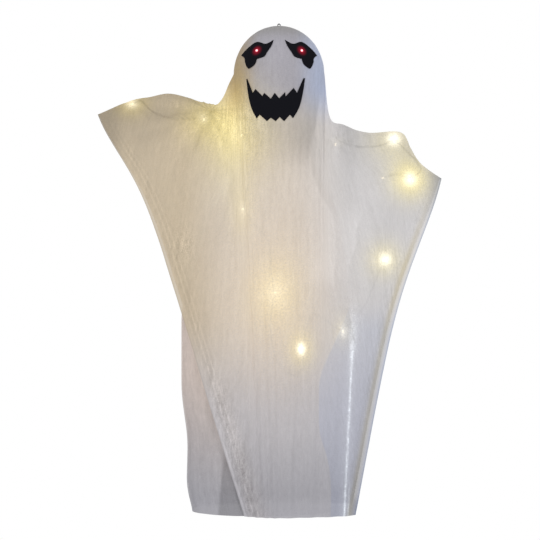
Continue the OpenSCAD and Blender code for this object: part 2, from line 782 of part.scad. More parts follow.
// Shroud: each half hangs in lines from a ridge that runs over the crown, the neck and an arm.
// Neck points are given along the upper arm and above it, as shares of its length.
dome_columns = 8;
fold_rows = 6;
hang_rows = 11;
side_rows = fold_rows + hang_rows;
ridge_drop = 40;
ridge_lift = cap_d / 2 + cloth_t + 0.8;
seam_half = 0.1;
edge_room = 25;
column_taper = 0.92;
left_neck = [[0.47, 0.171], [0.543, 0.113], [0.781, 0.073]];
right_neck = [[0.27, 0.176], [0.424, 0.1], [0.677, 0.0225]];
left_tip_reach = 35;
right_tip_reach = 10;

function dome_ridge() =
    [for (i = [0 : dome_columns]) let (a = 90 * i / dome_columns)
        [max(seam_half, face_r * sin(a)), mid_z + face_crown * cos(a)]];
function neck_ridge(rise, spots) =
    [for (p = spots) [pivot_x, pivot_z] + upper_arm_l * (p.x * heading(rise) + p.y * upright(rise))];
function arm_ridge(rise, bend, wrist, reach) =
    let (low = rise - bend, last = low - wrist,
         top = elbow_at(rise) + ridge_lift * upright(rise - bend / 2),
         hand = wrist_at(rise, bend) + ridge_lift * upright(low - wrist / 2),
         tip = wrist_at(rise, bend) + (hand_l + reach) * heading(last) + ridge_lift * upright(last))
    [top, mixed(top, hand, 0.5), hand, tip];

left_ridge = concat(dome_ridge(), neck_ridge(left_rise, left_neck),
                    arm_ridge(left_rise, left_bend, left_wrist, left_tip_reach));
right_ridge = concat(dome_ridge(), neck_ridge(right_rise, right_neck),
                     arm_ridge(right_rise, right_bend, right_wrist, right_tip_reach));

// How the hanging lines draw in: how far, over which share of the drop, and how suddenly
left_pull = [0.156, 0.16, 2];
right_pull = [0.27, 0.32, 2];

// One half of the shroud: its ridge, its free edge at the hem, how its lines draw in, its side
left_half = [left_ridge, left_hem_x, left_pull, -1];
right_half = [right_ridge, right_hem_x, right_pull, 1];

function hang_ease(s, pull) = s + pull[0] * (1 - s) * (1 - exp(-pow(s / pull[1], pull[2])));
function edge_at(half, z) =
    let (tip = half[0][len(half[0]) - 1], s = (tip.y - z) / (tip.y - hem_z))
    s <= 0 ? tip.x : mixed(tip.x, half[1], hang_ease(s, half[2]));

// How far the shroud stands out from the middle plane at a point
function shroud_out(x, z, drop, half) =
    let (wide = edge_at(half, z) + edge_room,
         torso = body_depth * sqrt(max(0, 1 - pow(x / wide, 2))),
         grown = ridge_half + torso * (1 - exp(-drop / swell_length)),
         taper = mixed(1, column_taper, soft_step((base_z - z) / (base_z - hem_z))),
         robe = robe_front_at(half[3] * x, z))
    max(half_chord(face_r, x) * taper, grown, robe > 0 ? robe + robe_room : 0);

function shroud_point(i, j, half) =
    let (k = abs(j), face = sign(j), start = half[0][i], n = len(half[0]) - 1,
         up = max(ridge_drop, start.y - mid_z), low = start.y - up,
         z = k <= fold_rows ? low + up * cos(90 * k / fold_rows)
                            : mixed(low, hem_z, (k - fold_rows) / hang_rows),
         s = (start.y - z) / (start.y - hem_z),
         x = max(seam_half, mixed(start.x, half[1] * i / n, hang_ease(s, half[2]))),
         fold = fold_depth * soft_step((s - 0.2) / 0.8) * pow(sin(180 * fold_count * i / n), 2),
         out = k == 0 ? 0
             : z > mid_z - eps ? cloth_front(x, z)
             : shroud_out(x, z, start.y - z, half) + fold)
    [i == 0 ? seam_half : x, face * out, z];

module shroud_half(half) {
    g = [for (i = [0 : len(half[0]) - 1])
            [for (j = [-side_rows : side_rows]) shroud_point(i, j, half)]];
    color([0.86, 0.84, 0.82, 0.6]) difference() {
        mirror([half[3] < 0 ? 1 : 0, 0, 0]) cloth_sheet(g, true);
        translate([0, 0, apex_z - cloth_stand])
            cylinder(d = eye_hole_d + 2 * eye_rim, h = 2 * cloth_stand + eye_clear, $fn = 12);
        lamp_axis(lamp_d + 1, shell_front, 2 * face_r, $fn = 12);
    }
}

// Light wires and bulbs. A route leaves the case, is tied to the arm at two spots and is given
// between them by percents of the upper arm along it and above it, and wire widths in front of it.

tie_offset = wire_d / 2 + light_wire_d / 2 + seat_gap;
tie_w = 3;
tie_t = 1;
arm_unit = upper_arm_l / 100;
near_tie = 22 * arm_unit;
left_far_tie = 131 * arm_unit;
right_far_tie = 133 * arm_unit;

function tied(along, front) = [[along - 2 * tie_w, 0, front], [along + 2 * tie_w, 0, front]];
function loose(spots) = [for (p = spots) [p[0] * arm_unit, p[1] * arm_unit, p[2] * light_wire_d]];
function case_exit(side, y) = [side * (case_w / 2 + seat_gap), y, exit_z];
function leave_case(side) =
    [case_exit(side, exit_y),
     [side * pivot_x * 2 / 3, lead_y, pivot_z - barrel_d / 2],
     [side * (pivot_x + 3 * light_wire_d), case_front, pivot_z]];

left_spots = concat(loose([[13, -2, -4]]), tied(near_tie, -tie_offset),
                    loose([[32, 8, -2.5], [45, 9, 2], [57, -5, 3.5], [66, -11, 3], [82, -19, 3],
                           [112, -19, 2.5], [121.6, -10.5, 2.5]]),
                    tied(left_far_tie, tie_offset), loose([[137, -0.5, 2.5]]));
right_spots = concat(tied(near_tie, -tie_offset),
                     loose([[28, -5, -2.5], [34, -7, 1], [56, -12.5, 2], [78, -12, 2.5], [94, -6.6, 3],
                            [113.6, -4.4, 3], [125, -2, 2.5]]),
                     tied(right_far_tie, tie_offset),
                     loose([[144.6, -2.5, 3], [144, -16, 3], [134.3, -24.5, 3], [129.7, -37.3, 3]]));

function arm_route(side, rise, bend, spots) =
    concat(leave_case(side), [for (p = spots) on_arm(side, rise, bend, p)]);
left_route = arm_route(-1, left_rise, left_bend, left_spots);
right_route = arm_route(1, right_rise, right_bend, right_spots);

// The chest wire comes through the robe and lies between the robe and the shroud.
// Its points are given by percents of the way to the free edge and of the drop below the plate.
// A point lies between the two sheets, chest_share of the way out from the robe, or chest_depth behind
// the shroud where that is nearer.
// The sheets are made of flat facets, so the room is taken between chords of these half lengths.
chest_depth = 8;
chest_share = 0.42;
chest_chords = [[0, 0], [18, 0], [0, 40]];
robe_hole = [-plate_r / 2, pivot_z - 14];
chest_flat = [[-14, 7], [-18, 10.5], [-21, 14], [-24, 17.5], [-26, 21], [-20, 25], [-9, 29.5], [-7.5, 37],
              [-5.5, 42.5], [-9, 50], [-6, 58], [8, 63], [22, 62.5], [21.5, 57], [24, 51], [29, 48], [42, 50],
              [55, 52], [70, 46.5], [75.5, 39.5], [78, 34.5]];
function shroud_end(p, half) = shroud_out(abs(p.x), p.y, pivot_z - p.y, half);
function shroud_chord(p, d, half) = (shroud_end(p - d, half) + shroud_end(p + d, half)) / 2;
function robe_chord(p, d) =
    (robe_front_at(p.x - d.x, p.y - d.y) + robe_front_at(p.x + d.x, p.y + d.y)) / 2;
function chest_spot(p) =
    let (z = mixed(base_z, hem_z, p.y / 100), half = p.x < 0 ? left_half : right_half,
         spot = [edge_at(half, z) * p.x / 100, z],
         shroud = min([for (d = chest_chords) shroud_chord(spot, d, half)]),
         robe = max([for (d = chest_chords) robe_chord(spot, d)]))
    [spot.x, -max(mixed(robe, shroud, chest_share), shroud - chest_depth), z];
chest_start = [case_exit(-1, exit_y - exit_pitch),
               [robe_hole.x, exit_pitch, robe_hole.y + light_wire_d],
               [robe_hole.x, -robe_rim / 2, robe_hole.y],
               [robe_hole.x, 2 * light_wire_d - robe_rim, robe_hole.y]];
chest_route = concat(chest_start, [for (p = chest_flat) chest_spot(p)]);

// Which points of each route carry a bulb
left_bulbs = [3, 8, len(left_route) - 1];
right_bulbs = [6, 9, 15, len(right_route) - 1];
chest_bulbs = [8, 12, 17, 21, len(chest_route) - 1];

module wire_ties(side, rise, bend, far) {
    wire_hole = wire_d / 2 + fit;
    color([0.9, 0.9, 0.9]) place_arm(side, rise) {
        tie_loop(near_tie, -1, wire_hole);
        at_forearm(bend) tie_loop(far - upper_arm_l, 1, wire_hole);
    }
}

// A flat loop round the arm wire and the light wire beside it
module tie_loop(along, front, hole) {
    translate([along - tie_w / 2, 0, 0]) rotate([90, 0, 90]) linear_extrude(tie_w) difference() {
        loop_outline(hole + tie_t, front);
        loop_outline(hole, front);
    }
}

module loop_outline(r, front) {
    circle(r = r);
    translate([0, front * tie_offset]) circle(r = r);
    translate([-r, min(0, front * tie_offset)]) square([2 * r, tie_offset]);
}

module light_wire(route) {
    color([0.2, 0.2, 0.18]) tube(route, light_wire_d, [0.3, 1, 0.2]);
}

// A bulb stands off the outside of the wire's bend; the last one carries on from its end
function bulb_way(route, i) =
    let (last = i == len(route) - 1, before = route[i - 1], after = route[min(i + 1, len(route) - 1)],
         run = after - before, aside = [-run.z, run.x], bow = (before + after) / 2 - route[i])
    last ? [run.x, run.z] : aside * (aside * [bow.x, bow.z] > 0 ? -1 : 1);

module bulbs(route, places) {
    color([1, 0.9, 0.65]) for (i = places) {
        way = bulb_way(route, i);
        start = i == len(route) - 1 ? seat_gap : light_wire_d / 2 + seat_gap;
        translate(route[i]) rotate([0, atan2(way[0], way[1]), 0]) translate([0, 0, start]) {
            cylinder(d = bulb_d, h = bulb_l - bulb_d / 2, $fn = 24);
            translate([0, 0, bulb_l - bulb_d / 2]) sphere(d = bulb_d, $fn = 24);
        }
    }
}

hanger_eye();
hanger_washer();
hanger_nut();
head_front_shell();
head_rear_shell();
eye_patch(-1);  // left_eye_patch
eye_patch(1);  // right_eye_patch
mouth_patch();
eye_lamp(-1);  // left_eye_lamp
eye_lamp(1);  // right_eye_lamp
lamp_grommets();
eye_leads();
shoulder_plate();
plate_screws();
pivot_pin(-1);  // left_pivot_pin
pivot_pin(1);  // right_pivot_pin
arm_wire(-1, left_rise, left_bend, left_wrist);  // left_arm_wire
arm_wire(1, right_rise, right_bend, right_wrist);  // right_arm_wire
hand_cap(-1, left_rise, left_bend, left_wrist);  // left_hand_cap
hand_cap(1, right_rise, right_bend, right_wrist);  // right_hand_cap
battery_case();
case_screws();
battery_cover();
batteries();
battery_contacts();
switch_body();
switch_slider();
light_wire(left_route);  // left_light_wire
light_wire(right_route);  // right_light_wire
light_wire(chest_route);  // chest_light_wire
bulbs(left_route, left_bulbs);  // left_lights
bulbs(right_route, right_bulbs);  // right_lights
bulbs(chest_route, chest_bulbs);  // chest_lights
wire_ties(-1, left_rise, left_bend, left_far_tie);  // left_wire_ties
wire_ties(1, right_rise, right_bend, right_far_tie);  // right_wire_ties
robe_front();
robe_panel(1);  // robe_back
shroud_half(left_half);  // left_shroud
shroud_half(right_half);  // right_shroud
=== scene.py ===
"""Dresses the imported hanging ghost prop: gauze shroud and robe, light wires, felt face and lit bulbs."""
import json

import bpy
import numpy as np
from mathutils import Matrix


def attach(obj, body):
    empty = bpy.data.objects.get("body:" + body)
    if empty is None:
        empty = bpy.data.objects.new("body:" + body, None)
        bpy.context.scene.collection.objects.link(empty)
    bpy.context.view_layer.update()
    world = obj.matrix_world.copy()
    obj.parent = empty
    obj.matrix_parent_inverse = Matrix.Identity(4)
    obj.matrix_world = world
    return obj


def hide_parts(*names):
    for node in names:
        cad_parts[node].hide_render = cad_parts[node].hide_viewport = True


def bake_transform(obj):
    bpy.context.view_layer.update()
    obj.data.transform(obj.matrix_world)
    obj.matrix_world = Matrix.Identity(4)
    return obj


bl_info = {
    "name": "Hanging ghost prop",
    "version": (1, 0, 0),
    "blender": (4, 5, 0),
    "location": "View3D > Sidebar > Ghost prop",
    "description": "Builds the gauze, wires, felt face and lights of a hanging ghost prop",
    "category": "Object",
}

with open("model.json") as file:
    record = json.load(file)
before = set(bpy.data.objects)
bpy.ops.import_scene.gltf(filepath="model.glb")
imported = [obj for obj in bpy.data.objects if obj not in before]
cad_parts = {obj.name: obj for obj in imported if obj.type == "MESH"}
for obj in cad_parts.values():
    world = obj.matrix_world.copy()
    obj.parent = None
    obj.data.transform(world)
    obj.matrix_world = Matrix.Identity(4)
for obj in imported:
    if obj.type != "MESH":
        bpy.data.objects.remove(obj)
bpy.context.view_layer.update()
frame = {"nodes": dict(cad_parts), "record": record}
NODES = frame["nodes"]
MM = 0.001

# Sizes in millimetres, and shares, that the cloth and the wires have in common with the solids
APEX_Z = -3.5
FACE_R = 110.6
FACE_CROWN = 117.0
MID_Z = APEX_Z - FACE_CROWN
JAW = 137.0
BASE_Z = MID_Z - JAW
PIVOT = np.array([60.0, BASE_Z - 14.5])
HEM_Z = -1184.0
UPPER_ARM = 232.0
FORE_ARM = 90.0
HAND = 52.0
PLATE_R = 77.0
RIDGE_LIFT = 6.1
RIDGE_HALF = 9.0
BODY_DEPTH = 92.0
SWELL = 180.0
ROBE_DEPTH = 74.0
ROBE_SLIT = 9.0
ROBE_EDGE = 2.0
ROBE_ROOM = 12.0
ROBE_RIM = 78.1
ROBE_FLARE = 0.22
TIE_OFFSET = 3.05
TIE_HALF = 6.0
LIGHT_WIRE = 2.0
LAMP = np.array([53.5, -89.7, -77.5])
LAMP_BACK = 77.3
LEAD_Y = 18.0
CASE_EXIT = np.array([26.3, 20.0, -271.5])
EXIT_PITCH = 5.0
CHEST_DEPTH = 8.0
CHEST_SHARE = 0.42
CHEST_HALF = 190.0
EDGE_ROOM = 25.0
HEM_TAPER = 0.92
ROBE_BLEND = 10.0
# Steps of the line that the shroud hangs from: over the crown, and in all
CROWN_STEPS = 8
RIDGE_STEPS = 15

# For each side: its sign, rise of the upper arm, bends at elbow and wrist, cloth past the wire's end
ARMS = {"left": (-1.0, 25.0, 36.0, 12.0, 35.0), "right": (1.0, 1.0, 58.0, -20.0, 10.0)}
# Width of each shroud half at the hem
HEMS = {"left": 83.0, "right": 183.0}
# How the hanging lines draw in: how far, over which share of the drop, and how suddenly
PULLS = {"left": (0.156, 0.16, 2.0), "right": (0.27, 0.32, 2.0)}
# Neck points along the upper arm and above it, as shares of its length
NECKS = {"left": [(0.47, 0.171), (0.543, 0.113), (0.781, 0.073)],
         "right": [(0.27, 0.176), (0.424, 0.1), (0.677, 0.0225)]}
# Side edges of the robe: shares of the drop below the plate and multiples of the plate's radius
ROBE_LEFT = ([0, 0.2, 0.465, 0.69, 0.81, 0.94, 1], [-0.91, -2.08, -3.08, -3.08, -2.88, -2.92, -2.7])
ROBE_RIGHT = ([0, 0.2, 0.445, 0.515, 0.64, 0.79, 0.84, 0.92, 1],
              [0.91, 1.82, 2.31, 1.97, 1.25, 1.25, 1.52, 1.65, 1.62])


def soft_step(t):
    """Three t squared minus two t cubed, with t kept between 0 and 1."""
    t = np.clip(t, 0, 1)
    return t * t * (3 - 2 * t)


def grows_above(value, start, over):
    """The soft step that is 0 up to a start and 1 from a distance above it."""
    return soft_step((value - start) / over)


def grows_below(value, start, over):
    """The soft step that is 0 down to a start and 1 from a distance below it."""
    return soft_step((start - value) / over)


def bell(value, middle, spread):
    """A bell curve: e to the minus square of the distance from a middle, counted in spreads."""
    return np.exp(-(((value - middle) / spread) ** 2))


def mixed(a, b, t):
    """The straight mix of a and b at t."""
    return a + (b - a) * t


def half_chord(r, x):
    """Half the chord of a circle of radius r at distance x from its middle."""
    return np.sqrt(np.clip(r * r - x * x, 0, None))


def curve_through(points, t):
    """A smooth cubic through the points, one unit of t from each point to the next."""
    p = np.asarray(points, float)
    i = np.clip(np.floor(t).astype(int), 0, len(p) - 2)
    f = (t - i)[..., None]
    a, b = p[np.clip(i - 1, 0, None)], p[i]
    c, d = p[i + 1], p[np.clip(i + 2, None, len(p) - 1)]
    return 0.5 * (2 * b + (c - a) * f + (2 * a - 5 * b + 4 * c - d) * f**2 + (3 * b - a - 3 * c + d) * f**3)


def ripple(a, b, seed):
    """Smooth random heights from -1 to 1: seeded values on a unit lattice, mixed with the soft step."""
    cells = 64
    values = np.random.default_rng(seed).uniform(-1, 1, (cells, cells))
    i, j = np.floor(a).astype(int), np.floor(b).astype(int)
    s, t = soft_step(a - i), soft_step(b - j)
    i, j, next_i, next_j = i % cells, j % cells, (i + 1) % cells, (j + 1) % cells
    low = mixed(values[i, j], values[next_i, j], s)
    high = mixed(values[i, next_j], values[next_i, next_j], s)
    return mixed(low, high, t)


def heading(angle):
    """Unit step along a direction given in degrees."""
    return np.array([np.cos(np.radians(angle)), np.sin(np.radians(angle))])


def upright(angle):
    """Unit step square to a direction given in degrees, to its upper side."""
    return np.array([-np.sin(np.radians(angle)), np.cos(np.radians(angle))])


def arm_spot(side, spot):
    """A point in millimetres from its distance along the arm, above it and in front of it."""
    sign, rise, bend = ARMS[side][:3]
    along, above, front = spot
    past = max(0.0, along - UPPER_ARM)
    low = rise - bend if past > 0 else rise
    flat = PIVOT + min(along, UPPER_ARM) * heading(rise) + past * heading(low) + above * upright(low)
    return [sign * flat[0], -front, flat[1]]


def tied(percent, front):
    """The straight stretch of a light wire that a tie holds beside the arm wire."""
    along = percent * UPPER_ARM / 100
    return [[along - TIE_HALF, 0, front], [along + TIE_HALF, 0, front]]


def loose(spots):
    """Spots given by percents of the upper arm along it and above it, and wire widths in front of it."""
    return [[a * UPPER_ARM / 100, b * UPPER_ARM / 100, c * LIGHT_WIRE] for a, b, c in spots]


def leave_case(sign):
    """The light wire's way from the battery case to the shoulder."""
    return [[sign * CASE_EXIT[0], CASE_EXIT[1], CASE_EXIT[2]],
            [sign * PIVOT[0] * 2 / 3, LEAD_Y, PIVOT[1] - 4.5],
            [sign * (PIVOT[0] + 3 * LIGHT_WIRE), 12, PIVOT[1]]]


LEFT_SPOTS = [*loose([[13, -2, -4]]), *tied(22, -TIE_OFFSET),
              *loose([[32, 8, -2.5], [45, 9, 2], [57, -5, 3.5], [66, -11, 3], [82, -19, 3],
                      [112, -19, 2.5], [121.6, -10.5, 2.5]]),
              *tied(131, TIE_OFFSET), *loose([[137, -0.5, 2.5]])]
RIGHT_SPOTS = [*tied(22, -TIE_OFFSET),
               *loose([[28, -5, -2.5], [34, -7, 1], [56, -12.5, 2], [78, -12, 2.5], [94, -6.6, 3],
                       [113.6, -4.4, 3], [125, -2, 2.5]]),
               *tied(133, TIE_OFFSET),
               *loose([[144.6, -2.5, 3], [144, -16, 3], [134.3, -24.5, 3], [129.7, -37.3, 3]])]
# Chest wire: percents of the way to the free edge and of the drop below the plate
CHEST_FLAT = [[-14, 7], [-18, 10.5], [-21, 14], [-24, 17.5], [-26, 21], [-20, 25], [-9, 29.5],
              [-7.5, 37], [-5.5, 42.5], [-9, 50], [-6, 58], [8, 63], [22, 62.5], [21.5, 57],
              [24, 51], [29, 48], [42, 50], [55, 52], [70, 46.5], [75.5, 39.5], [78, 34.5]]


def neck_and_arm(side):
    """Where the cloth lies over the neck, the elbow, the wrist and the hand, in millimetres."""
    _, rise, bend, wrist, reach = ARMS[side]
    low, last = rise - bend, rise - bend - wrist
    elbow = PIVOT + UPPER_ARM * heading(rise)
    end = elbow + FORE_ARM * heading(low)
    neck = [PIVOT + UPPER_ARM * (along * heading(rise) + above * upright(rise))
            for along, above in NECKS[side]]
    top = elbow + RIDGE_LIFT * upright(rise - bend / 2)
    hand = end + RIDGE_LIFT * upright(low - wrist / 2)
    tip = end + (HAND + reach) * heading(last) + RIDGE_LIFT * upright(last)
    return [*neck, top, mixed(top, hand, 0.5), hand, tip]


def ridge_line(side, u):
    """The line that a shroud half hangs from: a quarter ellipse over the crown, then neck, elbow, hand."""
    i = u * RIDGE_STEPS
    before = CROWN_STEPS - 1
    quarter = np.radians(90 * np.clip(i / CROWN_STEPS, 0, 1))
    crown = np.stack([FACE_R * np.sin(quarter), MID_Z + FACE_CROWN * np.cos(quarter)], -1)
    last = np.radians(90 * before / CROWN_STEPS)
    lead_in = [(FACE_R * np.sin(last), MID_Z + FACE_CROWN * np.cos(last)), (FACE_R, MID_Z)]
    arm = curve_through([*lead_in, *neck_and_arm(side)], np.clip(i - before, 0, None))
    return np.where((i > CROWN_STEPS)[..., None], arm, crown)


def robe_edges(z):
    """Side edges of the robe at a height, smoothed between the cut's corners."""
    share = (BASE_Z - z) / (BASE_Z - HEM_Z)
    spread = np.linspace(-0.03, 0.03, 7)
    left = PLATE_R * np.mean([np.interp(share + d, *ROBE_LEFT) for d in spread], 0)
    right = PLATE_R * np.mean([np.interp(share + d, *ROBE_RIGHT) for d in spread], 0)
    return share, left, right


def robe_out(x, z):
    """Half depth of the robe: its round rim turns into half an ellipse on a slit; 0 beside the robe."""
    share, left, right = robe_edges(z)
    flare = soft_step(share / ROBE_FLARE)
    middle = flare * (left + right) / 2
    half = mixed(ROBE_RIM, (right - left) / 2 + ROBE_EDGE, flare)
    round_part = np.sqrt(np.clip(1 - ((x - middle) / half) ** 2, 0, None))
    out = flare * ROBE_SLIT + mixed(ROBE_RIM, ROBE_DEPTH, flare) * round_part
    return np.where((z > BASE_Z) | (abs(x - middle) > half + ROBE_ROOM), 0, out)


def hang_ease(s, side):
    """How far a hanging line is on its way to the hem's place: its share of the drop plus an early pull."""
    far, over, power = PULLS[side]
    return s + far * (1 - s) * (1 - np.exp(-((s / over) ** power)))


def free_edge(z, side):
    """Distance of the shroud's free edge from the middle at a height."""
    tip = neck_and_arm(side)[-1]
    s = np.clip((tip[1] - z) / (tip[1] - HEM_Z), 0, None)
    return mixed(tip[0], HEMS[side], hang_ease(s, side))


def widest(a, b, blend):
    """The larger of two depths, with the corner between them rounded over a blend."""
    return (a + b + np.sqrt((a - b) ** 2 + blend**2)) / 2


def swelling(x):
    """A raised cosine across the chest, 1 in the middle and 0 beyond its width."""
    return 0.5 + 0.5 * np.cos(np.pi * np.clip(x / CHEST_HALF, 0, 1))


def shroud_out(x, z, drop, side, hung=0.0, blend=0.0):
    """Half depth of the shroud: the widest of the head's column, the swell below the ridge and the robe.

    Hung turns the column into a wide swelling, and blend rounds the corners between the three.
    """
    torso = BODY_DEPTH * np.sqrt(np.clip(1 - (x / (free_edge(z, side) + EDGE_ROOM)) ** 2, 0, None))
    grown = RIDGE_HALF + torso * (1 - np.exp(-np.clip(drop, 0, None) / SWELL))
    column = mixed(half_chord(FACE_R, x), FACE_R * swelling(x), hung)
    column = column * mixed(1, HEM_TAPER, grows_below(z, BASE_Z, BASE_Z - HEM_Z))
    robe = robe_out(ARMS[side][0] * x, z)
    over_robe = np.where(robe > 0, robe + ROBE_ROOM, 0)
    return widest(widest(column, grown, blend), over_robe, np.minimum(blend, ROBE_BLEND))


def chest_route():
    """The chest wire: out of the case, through the robe, then between robe and shroud."""
    hole = -PLATE_R / 2
    route = [[-CASE_EXIT[0], CASE_EXIT[1] - EXIT_PITCH, CASE_EXIT[2]], [hole, EXIT_PITCH, PIVOT[1] - 12],
             [hole, -ROBE_RIM / 2, PIVOT[1] - 14], [hole, 2 * LIGHT_WIRE - ROBE_RIM, PIVOT[1] - 14]]
    for across, down in CHEST_FLAT:
        z = mixed(BASE_Z, HEM_Z, down / 100)
        side = "left" if across < 0 else "right"
        x = free_edge(z, side) * across / 100
        # Depths at the point, and midway between places 18 beside it and 40 above and below it
        end_x = x + np.array([[0, 0], [-18, 18], [0, 0]])
        end_z = z + np.array([[0, 0], [0, 0], [-40, 40]])
        shroud = shroud_out(abs(end_x), end_z, PIVOT[1] - end_z, side).mean(1).min()
        robe = robe_out(end_x, end_z).mean(1).max()
        route.append([x, -max(mixed(robe, shroud, CHEST_SHARE), shroud - CHEST_DEPTH), z])
    return route


ROUTES = {
    "left_light_wire": [*leave_case(-1), *[arm_spot("left", p) for p in LEFT_SPOTS]],
    "right_light_wire": [*leave_case(1), *[arm_spot("right", p) for p in RIGHT_SPOTS]],
    "chest_light_wire": chest_route(),
}
LEAD_ROUTE = [[LAMP[0], 1.3 - LAMP_BACK, LAMP[2]],
              [0.93 * LAMP[0], -0.82 * LAMP_BACK, LAMP[2] - LIGHT_WIRE],
              [0.81 * LAMP[0], -0.38 * LAMP_BACK, MID_Z - 0.07 * JAW],
              [0.56 * LAMP[0], -0.05 * LAMP_BACK, MID_Z - 0.43 * JAW],
              [0.22 * LAMP[0], 0.67 * LEAD_Y, MID_Z - 0.73 * JAW],
              [LIGHT_WIRE, LEAD_Y, BASE_Z + 12], [LIGHT_WIRE, LEAD_Y, BASE_Z - 11]]

# Bulbs by wire and route point: spread in millimetres and strength of core and halo, and tallness
BULBS = {
    "left_light_wire": {3: (28, 0.06, 80, 0.72, 1.4), 8: (12, 0.22, 60, 0.38, 1.0),
                        15: (14, 0.5, 40, 0.4, 0.8)},
    "right_light_wire": {6: (11, 0.35, 24, 0.08, 0.6), 9: (15, 0.9, 60, 0.55, 1.0),
                         15: (16, 0.85, 47, 1.25, 1.0), 17: (6, 0.05, 12, 0.02, 1.0)},
    "chest_light_wire": {8: (8, 0.12, 30, 0.22, 2.4), 12: (24, 0.14, 58, 0.38, 1.4),
                         17: (9, 1.1, 30, 0.5, 1.4), 21: (9, 0.3, 24, 0.2, 1.6),
                         24: (14, 0.85, 42, 0.65, 1.0)},
}
BULB_OFF = 4.5
CORE_LIGHT = np.array([1.0, 0.95, 0.8])
HALO_LIGHT = np.array([0.3, 0.24, 0.06])
# Wide weak light of many bulbs: where its middle is, how far it reaches across and up, its colour
WASHES = (((-20, -660), (150, 260), (0.12, 0.075, 0.015)),
          ((-105, -175), (45, 90), (0.085, 0.048, 0.0)))

# Undyed gauze with painted light: its tints are as the room's light and the bulbs leave it
LEFT_GAUZE = np.array([0.54, 0.445, 0.31])
MIDDLE_GAUZE = np.array([0.62, 0.56, 0.49])
RIGHT_GAUZE = np.array([0.595, 0.575, 0.56])
HEAD_GAUZE = np.array([0.375, 0.36, 0.385])
HEAD_LEFT = np.array([0.345, 0.275, 0.19])
HEAD_RIGHT = np.array([0.505, 0.555, 0.69])
LOW_GAUZE = np.array([0.51, 0.495, 0.505])
LOW_RIGHT = np.array([0.505, 0.49, 0.5])
HEM_GAUZE = np.array([0.385, 0.375, 0.39])
# How strongly the crinkle shades the robe
ROBE_CRIMP = 0.8
# Shares of red, green and blue that places of the shroud lose, painted shade among them at the crown, the arm
# tips and where no robe lies behind; and the painted light of its bright crease
CROWN_SHADE = np.array([0.19, 0.19, 0.28])
BAND_SHADE = np.array([0.01, 0.035, 0.07])
BEIGE_SHADE = np.array([0.05, 0.11, 0.28])
RIM_SHADE = np.array([0.25, 0.17, 0.0])
TIP_SHADE = np.array([0.08, 0.05, 0.0])
BARE_SHADE = np.array([0.13, 0.09, 0.0])
SHEEN_LIGHT = np.array([0.9, 0.97, 1.0])
# Where the painted shade at the tip of the gauze over each arm starts
TIP_START = {"left": 365, "right": 345}
# Red light on the felt round a lamp: radius in metres and colour
LAMP_RINGS = ((0.017, (0.3, 0.0, 0.015)), (0.006, (0.9, 0.28, 0.32)))
# Soft edges of the loose layers on the right side, by points across and up
FOLDS = (((70, -299), (78, -375), (97, -422), (125, -465), (132, -522), (127, -660)),
         ((203, -427), (196, -465), (182, -503), (181, -541), (168, -575), (158, -645)))


def put_mesh(name, points, faces, uv=None, attributes=None):
    """A smooth mesh object at the origin from points in millimetres and lists of corners."""
    mesh = bpy.data.meshes.new(name)
    mesh.from_pydata((np.asarray(points) * MM).tolist(), [], faces)
    mesh.polygons.foreach_set("use_smooth", np.ones(len(mesh.polygons), bool))
    if uv is not None:
        corners = np.empty(len(mesh.loops), np.int32)
        mesh.loops.foreach_get("vertex_index", corners)
        layer = mesh.uv_layers.new(name="cloth")
        layer.data.foreach_set("uv", np.asarray(uv, np.float32)[corners].ravel())
    for key, values in (attributes or {}).items():
        if values.ndim == 1:
            mesh.attributes.new(key, "FLOAT", "POINT").data.foreach_set("value", values.astype(np.float32))
        else:
            four = np.concatenate([values, np.ones((len(values), 1))], 1)
            field = mesh.attributes.new(key, "FLOAT_COLOR", "POINT")
            field.data.foreach_set("color", four.astype(np.float32).ravel())
    mesh.update()
    made = bpy.data.objects.new(name, mesh)
    bpy.context.scene.collection.objects.link(made)
    return made


def grid_faces(columns, rows, turned):
    """Corner lists of the squares of a grid whose points are stored column by column."""
    at = np.arange(columns * rows).reshape(columns, rows)
    four = np.stack([at[:-1, :-1], at[1:, :-1], at[1:, 1:], at[:-1, 1:]], -1).reshape(-1, 4)
    return (four[:, ::-1] if turned else four).tolist()


def tube(name, route, width, per_span):
    """A round tube carried along the smooth curve through a route, with a rounded point at each end."""
    sides = 10
    path = curve_through(route, np.linspace(0, len(route) - 1, per_span * (len(route) - 1) + 1))
    way = np.gradient(path, axis=0)
    way /= np.linalg.norm(way, axis=1, keepdims=True)
    # Any direction that no route runs along
    aslant = [0.3, 1.0, 0.2]
    across = np.cross(way, aslant)
    across /= np.linalg.norm(across, axis=1, keepdims=True)
    beside = np.cross(across, way)
    turn = np.linspace(0, 2 * np.pi, sides, endpoint=False)
    rings = path[:, None] + width / 2 * (
        across[:, None] * np.cos(turn)[None, :, None] + beside[:, None] * np.sin(turn)[None, :, None])
    count = len(path)
    tips = [path[:1] - way[:1] * width / 4, path[-1:] + way[-1:] * width / 4]
    points = np.concatenate([rings.reshape(-1, 3), *tips])
    at = np.arange(count * sides).reshape(count, sides)
    beyond = np.roll(at, -1, 1)
    skin = np.stack([at[:-1], at[1:], beyond[1:], beyond[:-1]], -1).reshape(-1, 4).tolist()
    start, end = count * sides, count * sides + 1
    skin += np.stack([at[0], beyond[0], np.full(sides, start)], -1).tolist()
    skin += np.stack([beyond[-1], at[-1], np.full(sides, end)], -1).tolist()
    return put_mesh(name, points, skin)


def bulb_spot(wire, index):
    """The middle of a bulb: it stands off the outside of the wire's bend, or carries on from its end."""
    route = np.asarray(ROUTES[wire], float)
    last = index == len(route) - 1
    before, after = route[index - 1], route[index if last else index + 1]
    run = after - before
    aside = np.array([-run[2], 0, run[0]])
    bow = (before + after) / 2 - route[index]
    way = run * (1, 0, 1) if last else aside * (-1 if aside @ bow > 0 else 1)
    return route[index] + BULB_OFF * way / np.linalg.norm(way)


